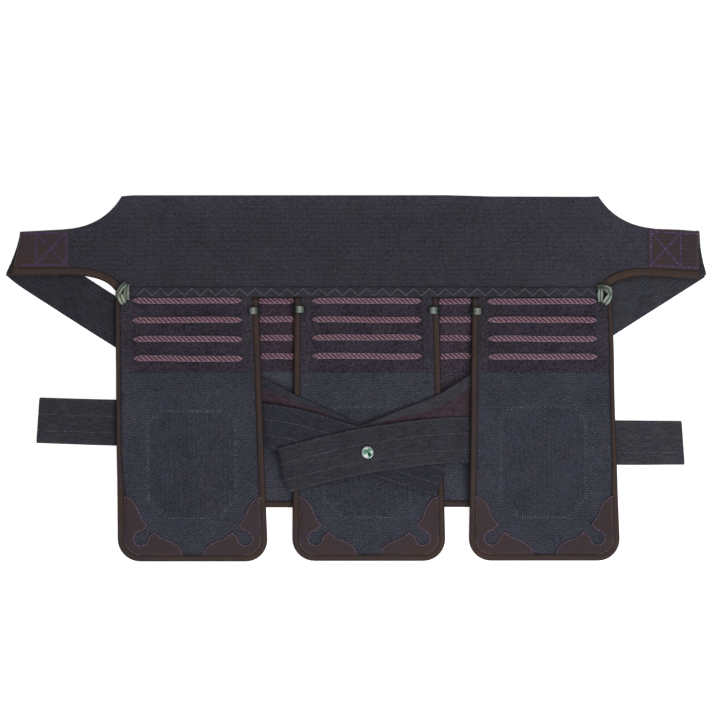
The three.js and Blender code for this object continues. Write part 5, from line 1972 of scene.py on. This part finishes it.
def make_strap(name, settings, colours):
    """One tie strap: folded cloth with a coloured lining on its reverse, and its sewing."""
    columns, front, reverse, normals, run_length = strap_grids(name, settings.groove / MM)
    rings = np.concatenate([front, reverse[:, ::-1]], axis=1)
    rows, count = rings.shape[:2]
    width = len(columns)
    behind = (np.arange(count) >= width) & (np.arange(count) < count - 1)
    kind = np.concatenate([np.tile(behind.astype(int), rows - 1), [0, 0]])
    faces = ring_faces(rows, count)
    cloths = strap_cloths(name, colours)
    piece = new_piece(f"tie_strap_{name}", rings.reshape(-1, 3), faces, cloths, kind)
    mirrored = columns[::-1]
    place = reverse[:, ::-1, 0]
    bare = np.full((rows, width), NO_LINING)
    lining = (1 - np.abs(mirrored)) * STRAP_WIDTH / 2 - np.interp(place, *EDGE_CLOTH[name])
    dull = np.where(np.abs(place) > DULL_FROM, 1.0, NO_LINING)
    for stored, values in (("lining", lining), ("dull", dull)):
        paint_points(piece, stored, np.concatenate([bare, values], axis=1).ravel())
    paint_points(piece, "faded", smoothstep(np.abs(rings[:, :, 0]), *FAR_SPAN).ravel())
    across = np.concatenate([columns, mirrored]) * STRAP_WIDTH / 2
    uv = np.stack(np.meshgrid(run_length, across, indexing="ij"), -1).reshape(-1, 2) * MM
    layer = piece.data.uv_layers.new(name="cloth_lie")
    corners = np.zeros(len(piece.data.loops), np.int32)
    piece.data.loops.foreach_get("vertex_index", corners)
    layer.data.foreach_set("uv", uv[corners].astype(np.float32).ravel())
    settle(piece, "strap", f"strap_{name}")
    size = (settings.stitch_length / MM, *STRAP_STITCH)
    sewing = []
    for surface, side, places, tint in (
        (front, 1, EDGE_SEAMS, "strap_thread"), (front, 1, FACE_SEAMS, "strap_thread"),
        (reverse, -1, EDGE_SEAMS, "reverse_thread"), (reverse, -1, REVERSE_SEAMS, "reverse_thread"),
    ):
        seams = []
        for spot in places:
            column = int(np.argmin(np.abs(columns - spot)))
            points, along, facing = strap_seam(surface[:, column], normals * side, settings.stitch_pitch / MM)
            seams.append((points, np.cross(facing, along) if places == EDGE_SEAMS else along, facing))
        label = f"strap_seam_{name}_{len(sewing) + 1}"
        yarn = thread(tint, getattr(colours, tint), 1.0)
        sewing.append(sew(label, seams, size, yarn, "strap", seed=8, spread=0.35))


def strap_seam(line, normals, pitch):
    """Seam along one column of a strap."""
    both = respace(np.hstack([line, normals * 0.01]), pitch)
    facing = both[:, 3:] / np.linalg.norm(both[:, 3:], axis=1, keepdims=True)
    return both[:, :3], tangents(both[:, :3]), facing


# Knots, ties and the stud

# Painted light of the facets that are not listed
PLAIN_FACET = 0.2


def thong_leather(colours):
    """Pale soft leather with painted highlight where the mesh stores it."""
    return leather("thong_leather", shades(colours, "thong"), colours.thong_bright, grain=0.8)


def make_knot(name, settings, colours):
    """Pale thongs, each lying over the next, with painted highlight along their ridges."""
    (x, y), thongs = KNOTS[name]
    bottom = BAND_THICKNESS + BINDING_PROUD + GAP
    section = ridged_section(1.0, settings.thong_thickness / MM, settings.thong_ridges)
    crest = np.clip(section[:, 1] / section[:, 1].max() * 2 - 1, 0, 1)
    bodies = []
    wear = []
    t = np.linspace(0, 1, 19)
    for curve, widths, (right, left) in thongs:
        rise = bottom - 0.2 + 2.0 * (1 - smoothstep(t, 0.25, 0.95)) + 0.9 * np.sin(math.pi * t)
        rise = rise - 1.6 * smoothstep(0.16 - t, 0, 0.16)
        path = np.column_stack([bezier(curve, t) + (x, y), rise])
        bodies.append(sweep(path, section, swell=np.interp(t, (0, 0.5, 1), widths)))
        # Painted highlight on the crest of each ridge, stronger to one side and fading towards the thong's
        # ends
        highlight = crest * (left * (0.5 - section[:, 0]) ** 2 + right * (0.5 + section[:, 0]) ** 2)
        wear.append((np.sqrt(np.sin(math.pi * (0.06 + 0.88 * t)))[:, None] * highlight).ravel())
    piece = new_piece(f"knot_{name}", *ring_bodies(bodies), [thong_leather(colours)])
    paint_points(piece, "wear", np.concatenate(wear) * settings.thong_highlight)
    settle(piece, "thong", f"corner_knot_{name}")


def make_tie(index, place, settings, colours):
    """Turns of pale thong over a binding and in over its flap, with a painted highlight down their middle and
    painted shade at their ends.
    """
    name, side, y = place
    x = panel_edges(name, y)[0 if side < 0 else 1] - side * TIE_INSET
    turns = settings.tie_wraps
    pitch = settings.tie_height / MM / turns
    section = soft_section(pitch * 1.1, 1.5, 0.6)
    angle = np.linspace(math.pi, 0, 25)
    out = TIE_REACH * np.sign(np.cos(angle)) * np.abs(np.cos(angle)) ** 0.7
    rest = float(flap_over(name, np.array([x]), np.array([y]))[0]) + BINDING_PROUD
    rise = rest - 0.9 + 2.1 * np.sin(angle) ** 0.6
    bodies = []
    for turn in range(turns):
        lean = 0.5 if turn % 2 else -0.35
        at = y + (turn - (turns - 1) / 2) * pitch + lean * out / TIE_REACH
        bodies.append(sweep(np.column_stack([x + side * out, at, rise]), section, up=(0, 1e-4, 1)))
    middle = (out[:-1] + out[1:]) / 2
    # Painted shade at both ends of the turns, where they bend down
    dark = np.repeat((middle > TIE_PAINTED_SHADE[0]) | (middle < TIE_PAINTED_SHADE[1]), len(section)).astype(int)
    # Painted highlight: a pale band down the turns, a little inwards of their middle
    painted_highlight = 0.15 + 0.95 * np.exp(-(((out + 0.8) / 1.4) ** 2))
    wear = np.tile(np.repeat(painted_highlight, len(section)), turns)
    # Painted shade: dark leather for the ties' ends
    ends = leather("thong_ends", shades(colours, "ends"), colours.ends_light)
    leathers = [thong_leather(colours), ends]
    piece = new_piece(f"tie_{index}", *ring_bodies(bodies), leathers, [*dark, 1, 1] * turns)
    paint_points(piece, "wear", wear * settings.thong_highlight * 0.65)
    settle(piece, "thong", f"edge_tie_{index}")


def turned_body(profile, sides):
    """Points and faces of a closed turned body from radii and heights, starting and ending on its axis."""
    profile = np.asarray(profile, float)
    angle = np.linspace(0, TAU, sides, endpoint=False)
    ring = np.column_stack([np.cos(angle), np.sin(angle)])
    rings = [np.column_stack([r * ring, np.full(sides, z)]) for r, z in profile[1:-1]]
    points = np.vstack([*rings, [(0, 0, profile[0, 1]), (0, 0, profile[-1, 1])]])
    rows = len(rings)
    faces = ring_faces(rows, sides)[:-2]
    index = np.arange(sides)
    after = np.roll(index, -1)
    low = rows * sides
    faces += np.column_stack([after, index, np.full(sides, low)]).tolist()
    last = (rows - 1) * sides
    faces += np.column_stack([index + last, after + last, np.full(sides, low + 1)]).tolist()
    return points, faces


def stone_body(radius, table, base, girdle, top):
    """Brilliant-cut stone: a table, eight stars, eight kites and a pointed back."""
    eighth = TAU / 8
    k = np.arange(8)

    def ring(r, turn, z, count=8):
        angle = np.arange(count) * TAU / count + turn
        return np.column_stack([r * np.cos(angle), r * np.sin(angle), np.full(count, z)])

    tables = ring(table, 0, top)
    mids = ring((table + radius) * 0.53, eighth / 2, girdle[1] + (top - girdle[1]) * 0.52)
    upper = ring(radius, 0, girdle[1], 16)
    lower = ring(radius, 0, girdle[0], 16)
    points = np.vstack([tables, mids, upper, lower, [(0, 0, base), (0, 0, top)]])
    after = (k + 1) % 8
    before = (k - 1) % 8
    faces = np.column_stack([k, after, np.full(8, 49)]).tolist()
    faces += np.column_stack([k, after, k + 8]).tolist()
    faces += np.column_stack([k, 8 + before, 16 + 2 * k]).tolist()
    faces += np.column_stack([k, 16 + 2 * k, 8 + k]).tolist()
    faces += np.column_stack([8 + k, 16 + 2 * k, 17 + 2 * k]).tolist()
    faces += np.column_stack([8 + k, 17 + 2 * k, 16 + (2 * k + 2) % 16]).tolist()
    j = np.arange(16)
    next_j = (j + 1) % 16
    faces += np.column_stack([16 + j, 32 + j, 32 + next_j, 16 + next_j]).tolist()
    faces += np.column_stack([32 + j, np.full(16, 48), 32 + next_j]).tolist()
    return points, faces


def make_stud(settings, colours):
    """Round metal cup with a claw rim, and the faceted stone in it."""
    low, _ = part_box("stud_cup")
    x, y = STUD
    seat = low[2] / MM
    rim = settings.stud_radius / MM
    stone = settings.stone_radius / MM
    profile = [(0, 0), (rim * 0.8, 0), (rim * 0.97, 0.25), (rim, 0.9), (rim, 1.9), (rim * 0.975, 2.35),
               (rim * 0.93, 2.65), (stone + 0.75, 2.8), (stone + 0.3, 2.7), (stone + 0.12, 2.3),
               (stone + 0.12, 0.9), (0, 0.9)]
    points, faces = turned_body(profile, 48)
    parts = [points]
    for claw in range(8):
        angle = (claw + 0.5) * TAU / 8
        bead = claw_bead(stone + 0.1, angle, 2.75)
        faces += [[i + sum(len(p) for p in parts) for i in face] for face in bead[1]]
        parts.append(bead[0])
    place = np.array((x, y, seat))
    metal = polished_metal(colours)
    cup = new_piece("stud_setting", np.vstack(parts) + place, faces, [metal])
    settle(cup, "metal", "stud_cup")
    points, faces = stone_body(stone, settings.stone_table / MM, 1.0, (2.1, 2.5), 4.1)
    gem = new_piece("stud_gem", points + place, faces, [green_stone(colours)], smooth=False)
    # Painted reflections: the tone of each facet
    facets = np.full(len(faces), PLAIN_FACET, np.float32)
    facets[: len(FACET_PAINTED_LIGHT)] = FACET_PAINTED_LIGHT
    gem.data.attributes.new("tone", "FLOAT", "FACE").data.foreach_set("value", facets)
    settle(gem, "stone", "stud_stone")


def claw_bead(radius, angle, z):
    """Small bead of metal that holds the stone's edge."""
    points, faces = turned_body([(0, -0.5), (0.5, -0.3), (0.62, 0.1), (0.4, 0.5), (0, 0.62)], 8)
    centre = (radius * math.cos(angle), radius * math.sin(angle), z)
    return points + np.array(centre), faces


def polished_metal(colours):
    """Polished pale metal with faint rubbing."""
    values = {"Tint": rgba(colours.metal), "Contrast": 0.12}
    finish = {"Metallic": 1.0, "Roughness": 0.16}
    return new_material("polished_metal", thread_group(), values, 0.01, finish)[0]


def green_stone(colours):
    """Glossy green stone with painted reflections: each facet is painted lighter or darker by the tone it
    stores.
    """
    material = bpy.data.materials.new("green_stone")
    material.use_nodes = True
    tree = material.node_tree
    tone = node(tree, "ShaderNodeAttribute", attribute_name="tone")
    ramp = node(tree, "ShaderNodeValToRGB", {"Fac": tone.outputs["Fac"]})
    steps = ramp.color_ramp.elements
    steps[0].color = rgba(colours.stone_deep)
    steps[1].color = rgba(colours.stone_bright)
    steps.new(0.35).color = rgba(colours.stone)
    steps.new(0.6).color = rgba(colours.stone_pale)
    values = {"Base Color": ramp.outputs["Color"], "Roughness": 0.05, "Specular IOR Level": 0.15}
    feed(tree, tree.nodes[SHADER].inputs, values)
    return material


# Stage

FLOOR_HALF = 4.0
FLOOR_Z = -0.0004
SENSOR = 36.0
WHITE = (1, 1, 1, 1)


def make_stage(scene, settings):
    """Pale floor, soft light and a camera that looks straight down."""
    mesh = bpy.data.meshes.new("floor")
    signs = ((-1, -1), (1, -1), (1, 1), (-1, 1))
    mesh.from_pydata([(x * FLOOR_HALF, y * FLOOR_HALF, FLOOR_Z) for x, y in signs], [], [(0, 1, 2, 3)])
    floor = placed("floor", mesh)
    paper = bpy.data.materials.new("floor_paper")
    paper.use_nodes = True
    values = {
        "Base Color": rgba(settings.floor), "Roughness": 1.0, "Specular IOR Level": 0.0,
        "Emission Color": WHITE, "Emission Strength": settings.floor_glow,
    }
    feed(paper.node_tree, paper.node_tree.nodes[SHADER].inputs, values)
    mesh.materials.append(paper)
    lights = (
        ("key", (0.95, -1.5, 2.5), 2.0, settings.key_power),
        ("fill", (0.9, 1.8, 2.5), 2.2, settings.fill_power),
    )
    for name, place, size, power in lights:
        data = bpy.data.lights.new(name, "AREA")
        data.shape = "DISK"
        data.size = size
        data.energy = power
        lamp = placed(name, data)
        lamp.location = place
        lamp.rotation_euler = (-Vector(place)).to_track_quat("-Z", "Y").to_euler()
    world = bpy.data.worlds.new("studio")
    world.use_nodes = True
    sky = world.node_tree
    feed(sky, sky.nodes["Background"].inputs, {"Color": WHITE, "Strength": settings.sky})
    scene.world = world
    data = bpy.data.cameras.new("camera")
    data.lens = settings.lens
    data.sensor_width = SENSOR
    camera = placed("camera", data)
    camera.location = (settings.view_x, settings.view_y, settings.view_width * settings.lens / SENSOR)
    scene.camera = camera
    scene.view_settings.view_transform = "Standard"


# Operators


class PROTECTOR_OT_band(Operator):
    """Make the quilted band"""

    bl_idname = "protector.band"
    bl_label = "Band"

    def execute(self, context):
        scene = context.scene
        make_band(scene.protector_band, scene.protector_finish)
        return {"FINISHED"}


class PROTECTOR_OT_tabs(Operator):
    """Make the leather bindings and patches of the band's tabs"""

    bl_idname = "protector.tabs"
    bl_label = "Tabs"

    def execute(self, context):
        scene = context.scene
        for name, sign in (("left", -1), ("right", 1)):
            band_binding(name, sign)
            make_patch(name, sign, scene.protector_band, scene.protector_trim, scene.protector_finish)
        return {"FINISHED"}


class PROTECTOR_OT_joining_strip(Operator):
    """Make the strip that joins the flaps to the band, with its zigzag"""

    bl_idname = "protector.joining_strip"
    bl_label = "Joining strip"

    def execute(self, context):
        scene = context.scene
        make_joining_strip(scene.protector_band, scene.protector_finish)
        return {"FINISHED"}


class PROTECTOR_OT_flaps(Operator):
    """Make the quilted flaps and their stitches"""

    bl_idname = "protector.flaps"
    bl_label = "Flaps"

    def execute(self, context):
        scene = context.scene
        for name in PANELS:
            step = LARGE_STEP if name in LARGE else SMALL_STEP
            make_flap(name, scene.protector_flap, step)
            sew_flap(name, scene.protector_flap, scene.protector_finish)
        return {"FINISHED"}


class PROTECTOR_OT_bindings(Operator):
    """Make the leather bindings round the flaps"""

    bl_idname = "protector.bindings"
    bl_label = "Bindings"

    def execute(self, context):
        for name in PANELS:
            flap_binding(name)
        return {"FINISHED"}


class PROTECTOR_OT_corners(Operator):
    """Make the scalloped leather corners of the large flaps"""

    bl_idname = "protector.corners"
    bl_label = "Leather corners"

    def execute(self, context):
        scene = context.scene
        for name in LARGE:
            for sign in (-1, 1):
                make_corner(name, sign, scene.protector_trim, scene.protector_finish)
        return {"FINISHED"}


class PROTECTOR_OT_cords(Operator):
    """Make the laid cords across the flaps"""

    bl_idname = "protector.cords"
    bl_label = "Cords"

    def execute(self, context):
        scene = context.scene
        for name in PANELS:
            for row in range(BRAID_ROWS):
                make_cord(name, row, scene.protector_cord, scene.protector_finish)
        return {"FINISHED"}


class PROTECTOR_OT_straps(Operator):
    """Make the tie straps folded across the front"""

    bl_idname = "protector.straps"
    bl_label = "Tie straps"

    def execute(self, context):
        scene = context.scene
        for name in STRAPS:
            make_strap(name, scene.protector_strap, scene.protector_finish)
        return {"FINISHED"}


class PROTECTOR_OT_knots(Operator):
    """Make the pale knots on the band's corners and the ties on the bindings"""

    bl_idname = "protector.knots"
    bl_label = "Knots and ties"

    def execute(self, context):
        scene = context.scene
        for name in KNOTS:
            make_knot(name, scene.protector_trim, scene.protector_finish)
        for index, place in enumerate(TIES):
            make_tie(index + 1, place, scene.protector_trim, scene.protector_finish)
        return {"FINISHED"}


class PROTECTOR_OT_stud(Operator):
    """Make the set stone on the top strap"""

    bl_idname = "protector.stud"
    bl_label = "Stud"

    def execute(self, context):
        scene = context.scene
        make_stud(scene.protector_trim, scene.protector_finish)
        return {"FINISHED"}


class PROTECTOR_OT_stage(Operator):
    """Make the floor, the lights and the camera"""

    bl_idname = "protector.stage"
    bl_label = "Stage"

    def execute(self, context):
        make_stage(context.scene, context.scene.protector_stage)
        return {"FINISHED"}


class PROTECTOR_PT_panel(Panel):
    """Lists the pieces and their sizes"""

    bl_idname = "PROTECTOR_PT_panel"
    bl_label = "Waist protector"
    bl_space_type = "VIEW_3D"
    bl_region_type = "UI"
    bl_category = "Protector"

    def draw(self, context):
        layout = self.layout
        for group in SETTINGS:
            box = layout.box()
            box.label(text=group[4:].replace("_", " ").title())
            settings = getattr(context.scene, group)
            for key in settings.__annotations__:
                box.prop(settings, key)
        for operator in PIECES:
            layout.operator(operator.bl_idname)


SETTINGS = {
    "protector_band": BandSettings,
    "protector_flap": FlapSettings,
    "protector_strap": StrapSettings,
    "protector_cord": CordSettings,
    "protector_trim": TrimSettings,
    "protector_finish": FinishSettings,
    "protector_stage": StageSettings,
}
PIECES = (
    PROTECTOR_OT_band,
    PROTECTOR_OT_tabs,
    PROTECTOR_OT_joining_strip,
    PROTECTOR_OT_flaps,
    PROTECTOR_OT_bindings,
    PROTECTOR_OT_corners,
    PROTECTOR_OT_cords,
    PROTECTOR_OT_straps,
    PROTECTOR_OT_knots,
    PROTECTOR_OT_stud,
    PROTECTOR_OT_stage,
)


def register():
    """Registers the settings, the operators and the panel."""
    for name, group in SETTINGS.items():
        bpy.utils.register_class(group)
        setattr(bpy.types.Scene, name, PointerProperty(type=group))
    for operator in PIECES:
        bpy.utils.register_class(operator)
    bpy.utils.register_class(PROTECTOR_PT_panel)


def unregister():
    """Removes what register added."""
    bpy.utils.unregister_class(PROTECTOR_PT_panel)
    for operator in reversed(PIECES):
        bpy.utils.unregister_class(operator)
    for name, group in reversed(SETTINGS.items()):
        delattr(bpy.types.Scene, name)
        bpy.utils.unregister_class(group)


def main():
    """Builds every piece and the stage."""
    register()
    bpy.ops.protector.band()
    bpy.ops.protector.tabs()
    bpy.ops.protector.joining_strip()
    bpy.ops.protector.flaps()
    bpy.ops.protector.bindings()
    bpy.ops.protector.corners()
    bpy.ops.protector.cords()
    bpy.ops.protector.straps()
    bpy.ops.protector.knots()
    bpy.ops.protector.stud()
    bpy.ops.protector.stage()


if __name__ == "__main__":
    main()
